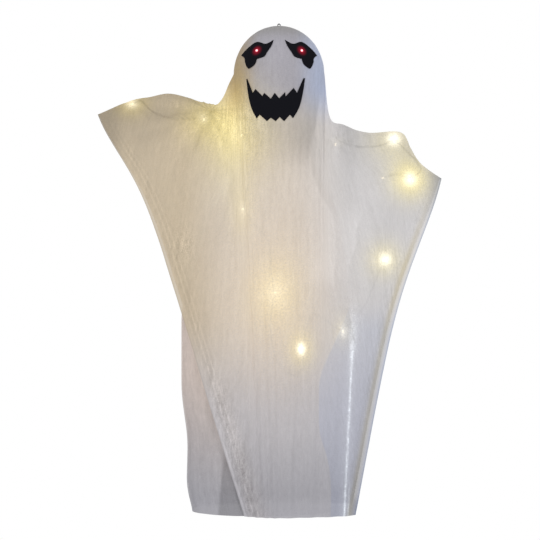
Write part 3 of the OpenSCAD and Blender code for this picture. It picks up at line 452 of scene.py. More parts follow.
def patch(points, middle, spread):
    """A bell curve across times one up, 1 at a middle and fading over a spread in each way."""
    return bell(points[..., 0], middle[0], spread[0]) * bell(points[..., 2], middle[1], spread[1])


def reach_of(points, spot, tall):
    """Distance from a bulb, shortened upright where the cloth spreads its light into a tall patch."""
    away = points - spot
    deep = 0.3 * np.clip(abs(away[..., 1]) - 12, 0, None)
    return np.sqrt(away[..., 0] ** 2 + deep**2 + (away[..., 2] / tall) ** 2)


def glow_at(points):
    """Light of the bulbs on the cloth: a bell curve round each bulb, a golden halo and the wide washes."""
    light = np.zeros(points.shape)
    # Share of each point that the painted golden halo light of the bulbs falls on
    halo_glow = np.zeros(points.shape[:-1])
    for middle, spread, colour in WASHES:
        light = light + patch(points, middle, spread)[..., None] * np.array(colour)
    for wire, places in BULBS.items():
        for index, (core, strength, halo, golden, tall) in places.items():
            reach = reach_of(points, bulb_spot(wire, index), tall)
            golden_halo = bell(reach, 0, halo) * golden
            light = light + (bell(reach, 0, core) * strength)[..., None] * CORE_LIGHT
            light = light + golden_halo[..., None] * HALO_LIGHT
            halo_glow = halo_glow + golden_halo
    return light, np.minimum(halo_glow, 1)


def dimmed(tint, mask, loss):
    """A tint that loses a share of each of its three colours where a mask is 1."""
    return tint * (1 - mask[..., None] * loss)


def gauze_tint_and_light(x, z):
    """Colour of the gauze with painted light: warm bulb light on the left, grey on the right, cool at the
    head and towards the hem, a painted shadow under the chin and painted shade at the crown.
    """
    right = grows_above(x, 10, 170)[..., None]
    left = grows_below(x, -80, 170)[..., None]
    head = (grows_above(z, -265, 110) * grows_below(abs(x), 155, 50))[..., None]
    low = grows_below(z, -690, 270)[..., None]
    hem = grows_below(z, -930, 250)[..., None]
    body = mixed(mixed(MIDDLE_GAUZE, RIGHT_GAUZE, right), LEFT_GAUZE, left)
    face = mixed(HEAD_GAUZE, HEAD_RIGHT, grows_above(x, 30, 75)[..., None])
    face = mixed(face, HEAD_LEFT, grows_below(x, -45, 55)[..., None])
    lower = mixed(mixed(LOW_GAUZE, LOW_RIGHT, right), HEM_GAUZE, hem)
    tint = mixed(mixed(body, face, head), lower, low)
    # Painted shadow under the chin, and painted shade at the crown
    chin_shadow = bell(z, -275, 75) * grows_below(abs(x), 120, 60)
    return dimmed(dimmed(tint, chin_shadow, 0.2), grows_above(z, -60, 55), CROWN_SHADE)


def halo_tinted(tint, halo_glow, x):
    """Tint of the cloth where the painted golden halo light falls on it, strongest on the warm left side."""
    blue = mixed(0.3, 0.6, grows_below(x, -40, 100))
    return dimmed(tint, halo_glow, np.stack([0 * x, 0 * x + 0.04, blue], -1))


def wire_shade(x, z, wires):
    """Painted shadow: dark lines where light wires lie close behind the cloth, from the distance to their
    routes.
    """
    nearest = np.full(x.shape, 1e6)
    for route in [ROUTES[wire] for wire in wires]:
        path = curve_through(route, np.linspace(0, len(route) - 1, 12 * len(route)))
        for wire_x, wire_z in path[path[:, 1] < 0][:, [0, 2]]:
            nearest = np.minimum(nearest, (x - wire_x) ** 2 + (z - wire_z) ** 2)
    return np.exp(-nearest / LIGHT_WIRE**2)


def group_socket(group, name, kind, way, value=None):
    """A named input or output of a shader group."""
    made = group.interface.new_socket(name=name, in_out=way, socket_type=kind)
    if value is not None:
        made.default_value = value
    return made


def add_node(tree, kind, values=None, **settings):
    """A shader node with its settings and the starting values of its inputs."""
    made = tree.nodes.new(kind)
    for key, value in settings.items():
        setattr(made, key, value)
    for key, value in (values or {}).items():
        made.inputs[key].default_value = value
    return made


def shared(name, build):
    """The shader group of a name, built when the first material asks for it."""
    if name not in bpy.data.node_groups:
        build(name)
    return bpy.data.node_groups[name]


def crinkle_group(name):
    """Crinkled gauze on the cloth's UV map: long streaks down the drop, short creases and a fine weave."""
    group = bpy.data.node_groups.new(name, "ShaderNodeTree")
    for key, value in (("Crease", 130.0), ("Weave", 420.0)):
        group_socket(group, key, "NodeSocketFloat", "INPUT", value)
    for key in ("Height", "Density", "Fleck"):
        group_socket(group, key, "NodeSocketFloat", "OUTPUT")
    ends = add_node(group, "NodeGroupInput")
    out = add_node(group, "NodeGroupOutput")
    uv = add_node(group, "ShaderNodeUVMap", uv_map="cloth")
    long_way = add_node(group, "ShaderNodeMapping", {"Scale": (1.0, 0.1, 1.0)})
    short_way = add_node(group, "ShaderNodeMapping", {"Scale": (1.0, 0.4, 1.0)})
    streak = add_node(group, "ShaderNodeTexNoise", {"Scale": 80.0, "Detail": 3.0, "Roughness": 0.6})
    crease = add_node(group, "ShaderNodeTexNoise", {"Detail": 3.0, "Roughness": 0.6, "Distortion": 0.6})
    weave = add_node(group, "ShaderNodeTexNoise", {"Detail": 1.0, "Roughness": 0.5})
    fleck = add_node(group, "ShaderNodeTexNoise", {"Scale": 230.0, "Detail": 2.0, "Roughness": 0.7})
    height = add_node(group, "ShaderNodeMath", {1: 0.5}, operation="MULTIPLY_ADD")
    pair = add_node(group, "ShaderNodeMath", operation="ADD")
    three = add_node(group, "ShaderNodeMath", operation="ADD")
    share = add_node(group, "ShaderNodeMath", {1: 1 / 3}, operation="MULTIPLY")
    link = group.links.new
    link(uv.outputs["UV"], long_way.inputs["Vector"])
    link(long_way.outputs["Vector"], streak.inputs["Vector"])
    link(uv.outputs["UV"], short_way.inputs["Vector"])
    link(short_way.outputs["Vector"], crease.inputs["Vector"])
    link(ends.outputs["Crease"], crease.inputs["Scale"])
    link(uv.outputs["UV"], weave.inputs["Vector"])
    link(ends.outputs["Weave"], weave.inputs["Scale"])
    link(weave.outputs["Fac"], height.inputs[0])
    link(crease.outputs["Fac"], height.inputs[2])
    link(streak.outputs["Fac"], pair.inputs[0])
    link(crease.outputs["Fac"], pair.inputs[1])
    link(pair.outputs[0], three.inputs[0])
    link(weave.outputs["Fac"], three.inputs[1])
    link(three.outputs[0], share.inputs[0])
    link(height.outputs[0], out.inputs["Height"])
    link(share.outputs[0], out.inputs["Density"])
    link(uv.outputs["UV"], fleck.inputs["Vector"])
    link(fleck.outputs["Fac"], out.inputs["Fleck"])


def gauze_material(name, crease, relief, openness):
    """Gauze: tint, cover, glow and crimp are fields of the cloth, crinkle and weave the shared group."""
    material = bpy.data.materials.new(name)
    material.use_nodes = True
    tree = material.node_tree
    shader = tree.nodes["Principled BSDF"]
    shader.inputs["Roughness"].default_value = 0.85
    shader.inputs["Emission Strength"].default_value = 1.0
    shader.inputs["Specular IOR Level"].default_value = 0.2
    crinkle = shared("crinkled_gauze", crinkle_group)
    cloth = add_node(tree, "ShaderNodeGroup", node_tree=crinkle)
    cloth.inputs["Crease"].default_value = crease
    # The tint field holds the gauze's colour with painted light and shade, the glow field the painted light
    # of the bulbs
    names = ("tint", "cover", "glow", "crimp")
    field = {key: add_node(tree, "ShaderNodeAttribute", attribute_name=key) for key in names}
    centred = add_node(tree, "ShaderNodeMath", {1: 0.5}, operation="SUBTRACT")
    shade = add_node(tree, "ShaderNodeMath", {2: 1.0}, operation="MULTIPLY_ADD")
    fibre = add_node(tree, "ShaderNodeMath", {1: 2.2, 2: -0.1}, operation="MULTIPLY_ADD")
    paint = add_node(tree, "ShaderNodeVectorMath", operation="SCALE")
    light = add_node(tree, "ShaderNodeVectorMath", operation="SCALE")
    alpha = add_node(tree, "ShaderNodeMath", {1: openness}, operation="MULTIPLY_ADD", use_clamp=True)
    bump = add_node(tree, "ShaderNodeBump", {"Strength": relief, "Distance": 0.003})
    link = tree.links.new
    link(cloth.outputs["Density"], centred.inputs[0])
    link(centred.outputs[0], shade.inputs[0])
    link(field["crimp"].outputs["Fac"], shade.inputs[1])
    link(field["tint"].outputs["Color"], paint.inputs[0])
    link(shade.outputs[0], paint.inputs["Scale"])
    link(paint.outputs["Vector"], shader.inputs["Base Color"])
    link(centred.outputs[0], alpha.inputs[0])
    link(field["cover"].outputs["Fac"], alpha.inputs[2])
    link(alpha.outputs[0], shader.inputs["Alpha"])
    link(cloth.outputs["Fleck"], fibre.inputs[0])
    link(field["glow"].outputs["Color"], light.inputs[0])
    link(fibre.outputs[0], light.inputs["Scale"])
    link(light.outputs["Vector"], shader.inputs["Emission Color"])
    link(cloth.outputs["Height"], bump.inputs["Height"])
    link(bump.outputs["Normal"], shader.inputs["Normal"])
    return material


def lengths(points):
    """Arc length across the columns and down the rows of a grid, in metres."""
    across = np.cumsum(np.linalg.norm(np.diff(points, axis=0, prepend=points[:1]), axis=2), 0)
    down = np.cumsum(np.linalg.norm(np.diff(points, axis=1, prepend=points[:, :1]), axis=2), 1)
    return across * MM, down * MM


def pushed(points, depth):
    """A grid moved along its own normals by a depth at each point."""
    normal = np.cross(np.gradient(points, axis=0), np.gradient(points, axis=1))
    normal /= np.maximum(np.linalg.norm(normal, axis=2, keepdims=True), 1e-9)
    return points + normal * depth[..., None]


def shroud_points(side, columns, rows):
    """Half of the shroud: lines hang from the ridge to the front and back hems, with folds on them."""
    sign = ARMS[side][0]
    shares = [0, CROWN_STEPS / RIDGE_STEPS, (RIDGE_STEPS - 1) / RIDGE_STEPS, 1]
    u = np.interp(np.linspace(0, 1, columns), [0, 0.3, 0.8, 1], shares)[:, None]
    w = np.linspace(-1, 1, 2 * rows + 1)[None, :]
    # Share of the rows that bend over the ridge, and the steps of that bend and of the drop
    near, bend, drop = 0.2, 6, 11
    step = np.where(abs(w) < near, bend * abs(w) / near, bend + drop * (abs(w) - near) / (1 - near))
    start = ridge_line(side, u[:, 0])
    top_x, top_z = start[:, :1], start[:, 1:]
    up = np.maximum(40, top_z - MID_Z)
    low = top_z - up
    z = np.where(step <= bend, low + up * np.cos(np.radians(90 / bend * np.minimum(step, bend))),
                 mixed(low, HEM_Z, (step - bend) / drop))
    s = (top_z - z) / (top_z - HEM_Z)
    x = np.maximum(0.1, mixed(top_x, HEMS[side] * u, hang_ease(s, side)))
    dome = FACE_R * np.sqrt(np.clip(1 - (x / FACE_R) ** 2 - ((z - MID_Z) / FACE_CROWN) ** 2, 0, None))
    hung = grows_below(z, BASE_Z, 200)
    wide = 50 * hung
    blend = np.maximum(14 * grows_below(z, MID_Z, 120) * grows_above(x, 85, 20), wide)
    lift = [shroud_out(0 * x, z, APEX_Z - z, side, hung, each) for each in (wide, 0)]
    swell_top = mixed(np.maximum(top_z, MID_Z), top_z, grows_above(top_x, FACE_R, 90))
    body = shroud_out(x, z, swell_top - z, side, hung, blend) - (lift[0] - lift[1]) * swelling(x)
    folds = 3.5 * grows_above(s, 0.2, 0.8) * np.sin(np.pi * 4 * u) ** 2
    out = np.where(z > MID_Z - 0.01, dome, body + folds) * np.minimum(1, abs(w) / (near / 12))
    x = np.where(u == 0, 0.0, x)
    return np.stack([sign * x, np.sign(w) * out, z], -1), u, w, s


# Where the gauze is gathered, for its relief and for the painted shade of its creases: the place, how far its
# creases reach, how many go round, how strong
GATHERS = (((-168, -212), 120, 46, 1.0), ((142, -286), 34, 22, 0.5), ((-352, -192), 60, 24, 0.4))
# Where the threads are crimped into fine specks: the place, the reach across and up, how strong
SPECKS = (((-228, -535), (22, 36), 2.6), ((172, -740), (16, 60), 1.4), ((252, -570), (34, 34), 1.2),
          ((-100, -240), (55, 45), 2.6))


def gathers(x, z):
    """Creases that run out from each gathered place: random heights round it, fading with the distance."""
    total = 0.0
    for seed, ((middle_x, middle_z), reach, count, strength) in enumerate(GATHERS):
        away = np.hypot(x - middle_x, z - middle_z)
        turn = np.arctan2(z - middle_z, x - middle_x) / (2 * np.pi) * count + count
        total = total + strength * ripple(turn, away / reach * 1.5, 21 + seed) * bell(away, 0, reach)
    return total


def shroud_relief(points, u, w, s, side):
    """Pleats that run with the drop, small puckers and gathers, kept off the face and the seam."""
    seed = 3 if side == "left" else 7
    x, y, z = points[..., 0], points[..., 1], points[..., 2]
    width = np.clip(free_edge(z, side) / 350, 0, 1)
    turn = 11 * u + 0.5 * ripple(3 * u + 5, 4 * s + 2 * np.sign(w), seed)
    pleats = np.sin(2 * np.pi * turn) * 0.45 * grows_above(s, 0, 0.25)
    fine = ripple(60 * u, 34 * s + 9 * np.sign(w), seed + 1) * 0.2
    puckers = fine + ripple(26 * u, 15 * s, seed + 2) * 0.5
    face = grows_above(z, -300, 40) * grows_below(y, -5, 30) * grows_below(abs(x), 112, 20)
    seam = grows_above(u, 0, 0.03)
    calm = 1 - grows_above(z, MID_Z - 140, 30)
    drawn = gathers(x, z) * 2.0
    relief = width * (pleats * calm + puckers * mixed(0.5, 1, calm)) + drawn
    return relief * (1 - 0.92 * face) * seam - 0.5 * face


def fold_lines(x, z):
    """Soft edges of the loose layers: a fine light line on each, and a slightly lighter layer to its left."""
    total = np.zeros_like(x)
    for points in FOLDS:
        across, up = np.array(points[::-1], float).T
        beside = x - np.interp(z, up, across)
        there = grows_above(z, up[0], 60) * grows_below(z, up[-1], 60)
        layer = 0.075 * grows_below(beside, 3, 6) * bell(np.minimum(beside, 0), 0, 70)
        total = total + there * (0.05 * bell(beside, 0, 3) + layer)
    return total


def sheen_line(x, z):
    """The bright crease down the right side: faint above, narrow in the middle, split in two at the hem."""
    line = 178 + 24 * np.clip((z + 686) / 510, -1, 1)
    narrow = 2.6 + 5 * grows_above(z, -860, 120)
    broken = 0.9 + 0.5 * ripple(x / 3 + 400, z / 7 + 400, 33)
    bright = mixed(0.34, 0.12, grows_above(z, -840, 120)) * bell(x, line, narrow)
    twin = 0.16 * bell(x, line + 9, 2) * grows_below(z, -1090, 60)
    haze = 0.07 * bell(x, line, 12)
    return (bright + twin + haze) * broken * grows_below(z, -670, 90)


def shroud_look(points, w, s, side, halo_glow):
    """Tint, crimp and extra light of the shroud: lines beside the free edge, gathers, folds and a sheen, with
    painted shade on the arms and painted shadows of the wires.
    """
    left = side == "left"
    x, z = points[..., 0], points[..., 2]
    tint = halo_tinted(gauze_tint_and_light(x, z), halo_glow, x)
    beside = free_edge(z, side) - abs(x)
    fall = grows_above(s, 0, 0.12) * bell(beside, 26, 16)
    wave = np.cos(2 * np.pi * beside / 12 + 0.4 * ripple(beside / 20, z / 60 + 40, 31))
    lines = ((0.5 + 0.5 * wave) ** 3 - 0.3) * fall
    drawn = gathers(x, z)
    rim = bell(beside, 0, 3)
    # Painted shade along the top of each arm and at its tip
    ridge = bell(s, 0, 0.11) * grows_above(abs(x), 130, 40)
    tip = grows_above(abs(x), TIP_START[side], 50)
    # Painted shadows of the light wires that lie close behind the cloth
    wires = 0.2 * wire_shade(x, z, [side + "_light_wire"]) + 0.05 * wire_shade(x, z, ["chest_light_wire"])
    front = (w < 0) * np.ones_like(x)
    sleeve_shade = 0.26 * ridge + 0.16 * tip if left else 0.14 * ridge + 0.28 * tip
    dark = 0.2 * rim + sleeve_shade + wires * front
    # Lines beside the free edge, painted crease shade from the gathers, less the painted shade and dark rim
    # summed above
    tint = tint * (1 + (0.16 if left else 0.05) * lines + 0.18 * drawn - dark)[..., None]
    crimp = 0.3 + 0.6 * fall + 1.4 * np.abs(drawn) + 0.6 * halo_glow
    for middle, spread, strength in SPECKS:
        crimp = crimp + strength * patch(points, middle, spread)
    light = np.zeros_like(tint)
    if left:
        hem_line = bell(beside, 3, 4) * mixed(0.1, 0.3, grows_below(z, -980, 60))
        band = bell(beside, 30, 28) * grows_below(z, -780, 160)
        tint = tint * (1 + hem_line * grows_below(z, -880, 120))[..., None]
        tint = dimmed(tint, band, BAND_SHADE)
        crimp = crimp + 1.5 * band
    else:
        beige = bell(beside, 16, 8) * grows_above(s, 0, 0.3)
        _, _, robe_side = robe_edges(z)
        # Painted shade: cooler and darker on the front where no robe lies behind the gauze
        bare = grows_above(x, 0.97 * robe_side - 1, 3) * grows_below(z, -660, 90) * front
        for mask, loss in ((beige, BEIGE_SHADE), (rim, RIM_SHADE), (tip, TIP_SHADE), (bare, BARE_SHADE)):
            tint = dimmed(tint, mask, loss)
        tint = tint * (1 + fold_lines(x, z) * front)[..., None]
        light = (sheen_line(x, z) * front)[..., None] * SHEEN_LIGHT
    return tint, crimp, light


def robe_points(face, columns, rows):
    """One panel of the robe: from the plate's rim it widens to its side edges and falls to the hem."""
    u = np.linspace(0, 1, columns)[:, None]
    share = np.linspace(0, 1, rows)[None, :] ** 1.15
    z = mixed(BASE_Z, HEM_Z, share)
    flare = soft_step(share / ROBE_FLARE)
    angle = np.radians(mixed(-78, 78, u))
    _, left, right = robe_edges(z)
    x = mixed(ROBE_RIM * np.sin(angle), mixed(left, right, u), flare)
    deep = 5 * grows_above(share, 0.25, 0.5)
    pleat = np.maximum(0, deep * np.sin(6 * np.pi * u)) * np.sin(np.pi * u)
    y = robe_out(x, z) - pleat * flare
    fine = ripple(40 * u, 22 * share, 11 if face < 0 else 12) * 0.7
    fine = fine * grows_above(share, 0, 0.1) * np.sin(np.pi * u)
    return np.stack(np.broadcast_arrays(x, face * (y - 1.2 + fine), z), -1), u, share


def robe_look(points, u, share, face, halo_glow, cloth):
    """Tint and cover of the robe: painted warm light above, grey at the hem, a painted shadow beside the left
    shroud's edge, thin at its upper sides under the shroud.
    """
    x, z = points[..., 0], points[..., 2]
    share = np.broadcast_to(share, x.shape)
    # Painted light: warm bulb light above, fading to a dimmer grey towards the hem
    warm, cool = np.array(cloth.robe_lit_above), np.array(cloth.robe_dim_hem)
    tint = mixed(warm, cool, grows_above(share, 0.58, 0.4)[..., None])
    tint = halo_tinted(tint, halo_glow, x)
    if face < 0:
        # Painted shadow on the front panel beside the left shroud's free edge, low down
        slit = -136 + 0.1 * (z + 1030)
        gap_shadow = grows_above(x, slit, 10) * grows_below(x, 4 - free_edge(z, "left"), 8)
        gap_shadow = gap_shadow * grows_below(z, -985, 70)
        tint = tint * (1 - 0.3 * gap_shadow)[..., None]
    hidden = 1 - grows_above(share, 0.4, 0.1)
    sides = grows_above(u, 0, 0.3) * grows_below(u, 1, 0.16)
    feather = mixed(1, mixed(0.6, 1, sides), hidden)
    return tint, feather * grows_above(share, 0, 0.05)


def doubled_hem(points, cover):
    """Cover of a cloth whose hem is turned over, so that the last stretch lets little light through."""
    return mixed(cover, np.maximum(cover, 0.97), grows_below(points[..., 2], HEM_Z + 55, 30))


def finish_cloth(name, points, uv, fields, turned, material):
    """The cloth object with its fields and material."""
    columns, rows = points.shape[:2]
    flat = {key: values.reshape(columns * rows, -1).squeeze() for key, values in fields.items()}
    made = put_mesh(name, points.reshape(-1, 3), grid_faces(columns, rows, turned), uv.reshape(-1, 2), flat)
    made.data.materials.append(material)
    return made


class GhostClothSettings(bpy.types.PropertyGroup):
    """Grids, covers and colours of the cloth"""
    columns: bpy.props.IntProperty(
        name="Columns", description="Grid columns of a shroud half", default=200, min=20)
    rows: bpy.props.IntProperty(
        name="Rows", description="Grid rows of a shroud half from ridge to hem", default=240, min=20)
    robe_columns: bpy.props.IntProperty(
        name="Robe columns", description="Grid columns of a robe panel", default=150, min=20)
    robe_rows: bpy.props.IntProperty(
        name="Robe rows", description="Grid rows of a robe panel from plate to hem", default=240, min=20)
    shroud_cover: bpy.props.FloatProperty(
        name="Shroud cover", description="Share of the light that the outer gauze stops", subtype="FACTOR",
        default=0.84, min=0, max=1)
    robe_cover: bpy.props.FloatProperty(
        name="Robe cover", description="Share of the light that the robe stops", subtype="FACTOR",
        default=0.88, min=0, max=1)
    # The robe's two tints hold painted light: the bulbs' warm light above, a dimmer grey towards the hem
    robe_lit_above: bpy.props.FloatVectorProperty(
        name="Robe above", description="Colour of the robe's upper part", subtype="COLOR",
        default=(0.6, 0.51, 0.45), min=0, max=1)
    robe_dim_hem: bpy.props.FloatVectorProperty(
        name="Robe hem", description="Colour of the robe towards its hem", subtype="COLOR",
        default=(0.37, 0.36, 0.375), min=0, max=1)


class GhostWireSettings(bpy.types.PropertyGroup):
    """Sizes of the wires"""
    light_wire: bpy.props.FloatProperty(
        name="Light wire", description="Thickness of a light wire", subtype="DISTANCE", unit="LENGTH",
        default=LIGHT_WIRE * MM, min=0.001, max=0.003)
    spans: bpy.props.IntProperty(
        name="Rings between points", description="Rings of a tube between two points of its route",
        default=8, min=1)


class GhostLightSettings(bpy.types.PropertyGroup):
    """Colours and strengths of the lamps and bulbs"""
    lamp_colour: bpy.props.FloatVectorProperty(
        name="Eye lamp", description="Colour that an eye lamp shines in", subtype="COLOR",
        default=(1.0, 0.62, 0.64), min=0, max=1)
    lamp_strength: bpy.props.FloatProperty(
        name="Eye lamp strength", description="How strongly an eye lamp shines", default=1.5, min=0)
    bulb_colour: bpy.props.FloatVectorProperty(
        name="Bulb", description="Colour that a bulb of the light wires shines in", subtype="COLOR",
        default=(1.0, 0.86, 0.58), min=0, max=1)
    bulb_strength: bpy.props.FloatProperty(
        name="Bulb strength", description="How strongly a bulb shines", default=2.0, min=0)


class GHOST_OT_stage(bpy.types.Operator):
    """Camera, soft lights, white surround and pale floor"""
    bl_idname = "ghost.stage"
    bl_label = "Stage"

    def execute(self, context):
        scene = context.scene
        scene.view_settings.view_transform = "Standard"
        camera = bpy.data.objects.new("camera", bpy.data.cameras.new("camera"))
        camera.location = (-0.022, -3.0, -0.598)
        camera.rotation_euler = (np.pi / 2, 0, 0)
        camera.data.lens = 81.83
        camera.data.sensor_width = 36
        scene.collection.objects.link(camera)
        scene.camera = camera
        for name, place, aim, power, size in (
                ("key_light", (-1.4, -2.6, 1.2), (0, 0, -0.5), 56, 1.8),
                ("fill_light", (2.2, -2.2, 0.1), (0, 0, -0.6), 25, 1.8),
                ("back_light", (0.4, 2.4, 0.9), (0, 0, -0.5), 30, 1.8)):
            lamp = bpy.data.lights.new(name, "AREA")
            lamp.energy = power
            lamp.size = size
            made = bpy.data.objects.new(name, lamp)
            made.location = place
            way = np.array(aim) - np.array(place)
            flat = np.hypot(way[0], way[1])
            made.rotation_euler = (np.arctan2(flat, -way[2]), 0, np.arctan2(-way[0], way[1]))
            scene.collection.objects.link(made)
        self.surround(scene)
        self.floor()
        return {"FINISHED"}

    def surround(self, scene):
        """White where the camera sees it, a plain grey light elsewhere."""
        world = bpy.data.worlds.new("surround")
        scene.world = world
        world.use_nodes = True
        tree = world.node_tree
        plain = tree.nodes["Background"]
        plain.inputs["Color"].default_value = (0.9, 0.92, 1.0, 1)
        plain.inputs["Strength"].default_value = 0.6
        white = add_node(tree, "ShaderNodeBackground", {"Color": (1, 1, 1, 1), "Strength": 1.0})
        path = add_node(tree, "ShaderNodeLightPath")
        either = add_node(tree, "ShaderNodeMath", operation="MAXIMUM")
        seen = add_node(tree, "ShaderNodeMath", operation="MAXIMUM")
        mix = add_node(tree, "ShaderNodeMixShader")
        link = tree.links.new
        link(path.outputs["Is Camera Ray"], either.inputs[0])
        link(path.outputs["Is Glossy Ray"], either.inputs[1])
        link(either.outputs[0], seen.inputs[0])
        link(path.outputs["Is Transmission Ray"], seen.inputs[1])
        link(seen.outputs[0], mix.inputs["Fac"])
        link(plain.outputs[0], mix.inputs[1])
        link(white.outputs[0], mix.inputs[2])
        link(mix.outputs[0], tree.nodes["World Output"].inputs["Surface"])

    def floor(self):
        """A pale floor far below the hem."""
        half, low = 3400.0, -2300.0
        corners = [(-half, -half, low), (half, -half, low), (half, half, low), (-half, half, low)]
        made = put_mesh("floor", corners, [[0, 1, 2, 3]])
        material = bpy.data.materials.new("pale_floor")
        material.use_nodes = True
        shader = material.node_tree.nodes["Principled BSDF"]
        shader.inputs["Base Color"].default_value = (0.86, 0.86, 0.86, 1)
        shader.inputs["Roughness"].default_value = 0.9
        made.data.materials.append(material)


def grain_group(name):
    """Fine grain on Object coordinates: noise that varies a tone round 1 and a roughness round its value."""
    group = bpy.data.node_groups.new(name, "ShaderNodeTree")
    for key, value in (("Scale", 900.0), ("Spread", 0.18), ("Roughness", 0.5)):
        group_socket(group, key, "NodeSocketFloat", "INPUT", value)
    for key in ("Tone", "Roughness", "Height"):
        group_socket(group, key, "NodeSocketFloat", "OUTPUT")
    ends = add_node(group, "NodeGroupInput")
    out = add_node(group, "NodeGroupOutput")
    place = add_node(group, "ShaderNodeTexCoord")
    noise = add_node(group, "ShaderNodeTexNoise", {"Detail": 4.0, "Roughness": 0.6})
    darker = add_node(group, "ShaderNodeMath", {0: 1.0}, operation="SUBTRACT")
    lighter = add_node(group, "ShaderNodeMath", {0: 1.0}, operation="ADD")
    smoother = add_node(group, "ShaderNodeMath", {1: 0.08}, operation="SUBTRACT")
    rougher = add_node(group, "ShaderNodeMath", {1: 0.08}, operation="ADD", use_clamp=True)
    link = group.links.new
    link(place.outputs["Object"], noise.inputs["Vector"])
    link(ends.outputs["Scale"], noise.inputs["Scale"])
    link(ends.outputs["Spread"], darker.inputs[1])
    link(ends.outputs["Spread"], lighter.inputs[1])
    link(ends.outputs["Roughness"], smoother.inputs[0])
    link(ends.outputs["Roughness"], rougher.inputs[0])
    for key, least, most in (("Tone", darker, lighter), ("Roughness", smoother, rougher)):
        varied = add_node(group, "ShaderNodeMapRange")
        link(noise.outputs["Fac"], varied.inputs["Value"])
        link(least.outputs[0], varied.inputs["To Min"])
        link(most.outputs[0], varied.inputs["To Max"])
        link(varied.outputs["Result"], out.inputs[key])
    link(noise.outputs["Fac"], out.inputs["Height"])


def speckled(name, color, roughness, metallic=0.0, scale=900.0, relief=0.15, spread=0.18, specular=0.5,
             emission=None):
    """A hard or felted finish: the shared fine grain varies its colour, its roughness and its relief."""
    material = bpy.data.materials.new(name)
    material.use_nodes = True
    tree = material.node_tree
    shader = tree.nodes["Principled BSDF"]
    shader.inputs["Metallic"].default_value = metallic
    shader.inputs["Specular IOR Level"].default_value = specular
    grain = add_node(tree, "ShaderNodeGroup", {"Scale": scale, "Spread": spread, "Roughness": roughness},
                     node_tree=shared("fine_grain", grain_group))
    paint = add_node(tree, "ShaderNodeVectorMath", {0: color}, operation="SCALE")
    bump = add_node(tree, "ShaderNodeBump", {"Strength": relief, "Distance": 0.0006})
    link = tree.links.new
    link(grain.outputs["Tone"], paint.inputs["Scale"])
    link(paint.outputs["Vector"], shader.inputs["Base Color"])
    link(grain.outputs["Roughness"], shader.inputs["Roughness"])
    link(grain.outputs["Height"], bump.inputs["Height"])
    link(bump.outputs["Normal"], shader.inputs["Normal"])
    if emission:
        shader.inputs["Emission Color"].default_value = (*emission[:3], 1)
        shader.inputs["Emission Strength"].default_value = emission[3]
    return material


def dress(node_object, material):
    """Gives a solid its finish."""
    node_object.data.materials.clear()
    node_object.data.materials.append(material)


class GHOST_OT_wires(bpy.types.Operator):
    """Light wires on the arms and the chest, and the leads of the eye lamps"""
    bl_idname = "ghost.wires"
    bl_label = "Wires"

    def execute(self, context):
        sizes = context.scene.ghost_wires
        width = sizes.light_wire / MM
        lead = speckled("light_lead", (0.08, 0.075, 0.06), 0.5)
        for node, route in ROUTES.items():
            made = tube(node.replace("_light_wire", "_string"), route, width, sizes.spans)
            made.data.materials.append(lead)
            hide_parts(node)
            if node == "chest_light_wire":
                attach(made, "frame")
            else:
                side = node.split("_")[0]
                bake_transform(made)
        black = speckled("black_lead", (0.04, 0.04, 0.04), 0.45)
        for side, arm in ARMS.items():
            route = [[arm[0] * x, y, z] for x, y, z in LEAD_ROUTE]
            made = tube(side + "_eye_lead", route, width, sizes.spans)
            made.data.materials.append(black)
            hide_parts("eye_leads")
            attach(made, "frame")
        return {"FINISHED"}


class GHOST_OT_robe(bpy.types.Operator):
    """Inner robe, front and back panel"""
    bl_idname = "ghost.robe"
    bl_label = "Robe"

    def execute(self, context):
        cloth = context.scene.ghost_cloth
        material = gauze_material("robe_gauze", crease=110.0, relief=0.2, openness=0.25)
        for node, face in (("robe_front", -1), ("robe_back", 1)):
            points, u, share = robe_points(face, cloth.robe_columns, cloth.robe_rows)
            across, down = lengths(points)
            uv = np.stack([across + (1 + face), down], -1)
            glow, halo_glow = glow_at(points)
            tint, cover = robe_look(points, u, share, face, halo_glow, cloth)
            cover = doubled_hem(points, cover * cloth.robe_cover)
            crimp = np.full(points.shape[:2], ROBE_CRIMP)
            fields = {"tint": tint, "cover": cover, "glow": glow, "crimp": crimp}
            made = finish_cloth(node + "_panel", points, uv, fields, face > 0, material)
            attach(made, "frame")
            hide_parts(node)
        return {"FINISHED"}


class GHOST_OT_shroud(bpy.types.Operator):
    """Outer gauze, two halves that drape over the head and the arms"""
    bl_idname = "ghost.shroud"
    bl_label = "Shroud"

    def execute(self, context):
        cloth = context.scene.ghost_cloth
        material = gauze_material("shroud_gauze", crease=150.0, relief=0.2, openness=0.4)
        for side, arm in ARMS.items():
            sign = arm[0]
            points, u, w, s = shroud_points(side, cloth.columns, cloth.rows)
            points = pushed(points, shroud_relief(points, u, w, s, side) * -sign)
            across, down = lengths(points)
            uv = np.stack([across + (2 if sign > 0 else 0), down], -1)
            glow, halo_glow = glow_at(points)
            tint, crimp, light = shroud_look(points, w, s, side, halo_glow)
            cover = doubled_hem(points, np.full(points.shape[:2], cloth.shroud_cover))
            fields = {"tint": tint, "cover": cover, "crimp": crimp, "glow": glow + light}
            made = finish_cloth(side + "_gauze", points, uv, fields, sign > 0, material)
            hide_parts(side + "_shroud")
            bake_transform(made)
        return {"FINISHED"}


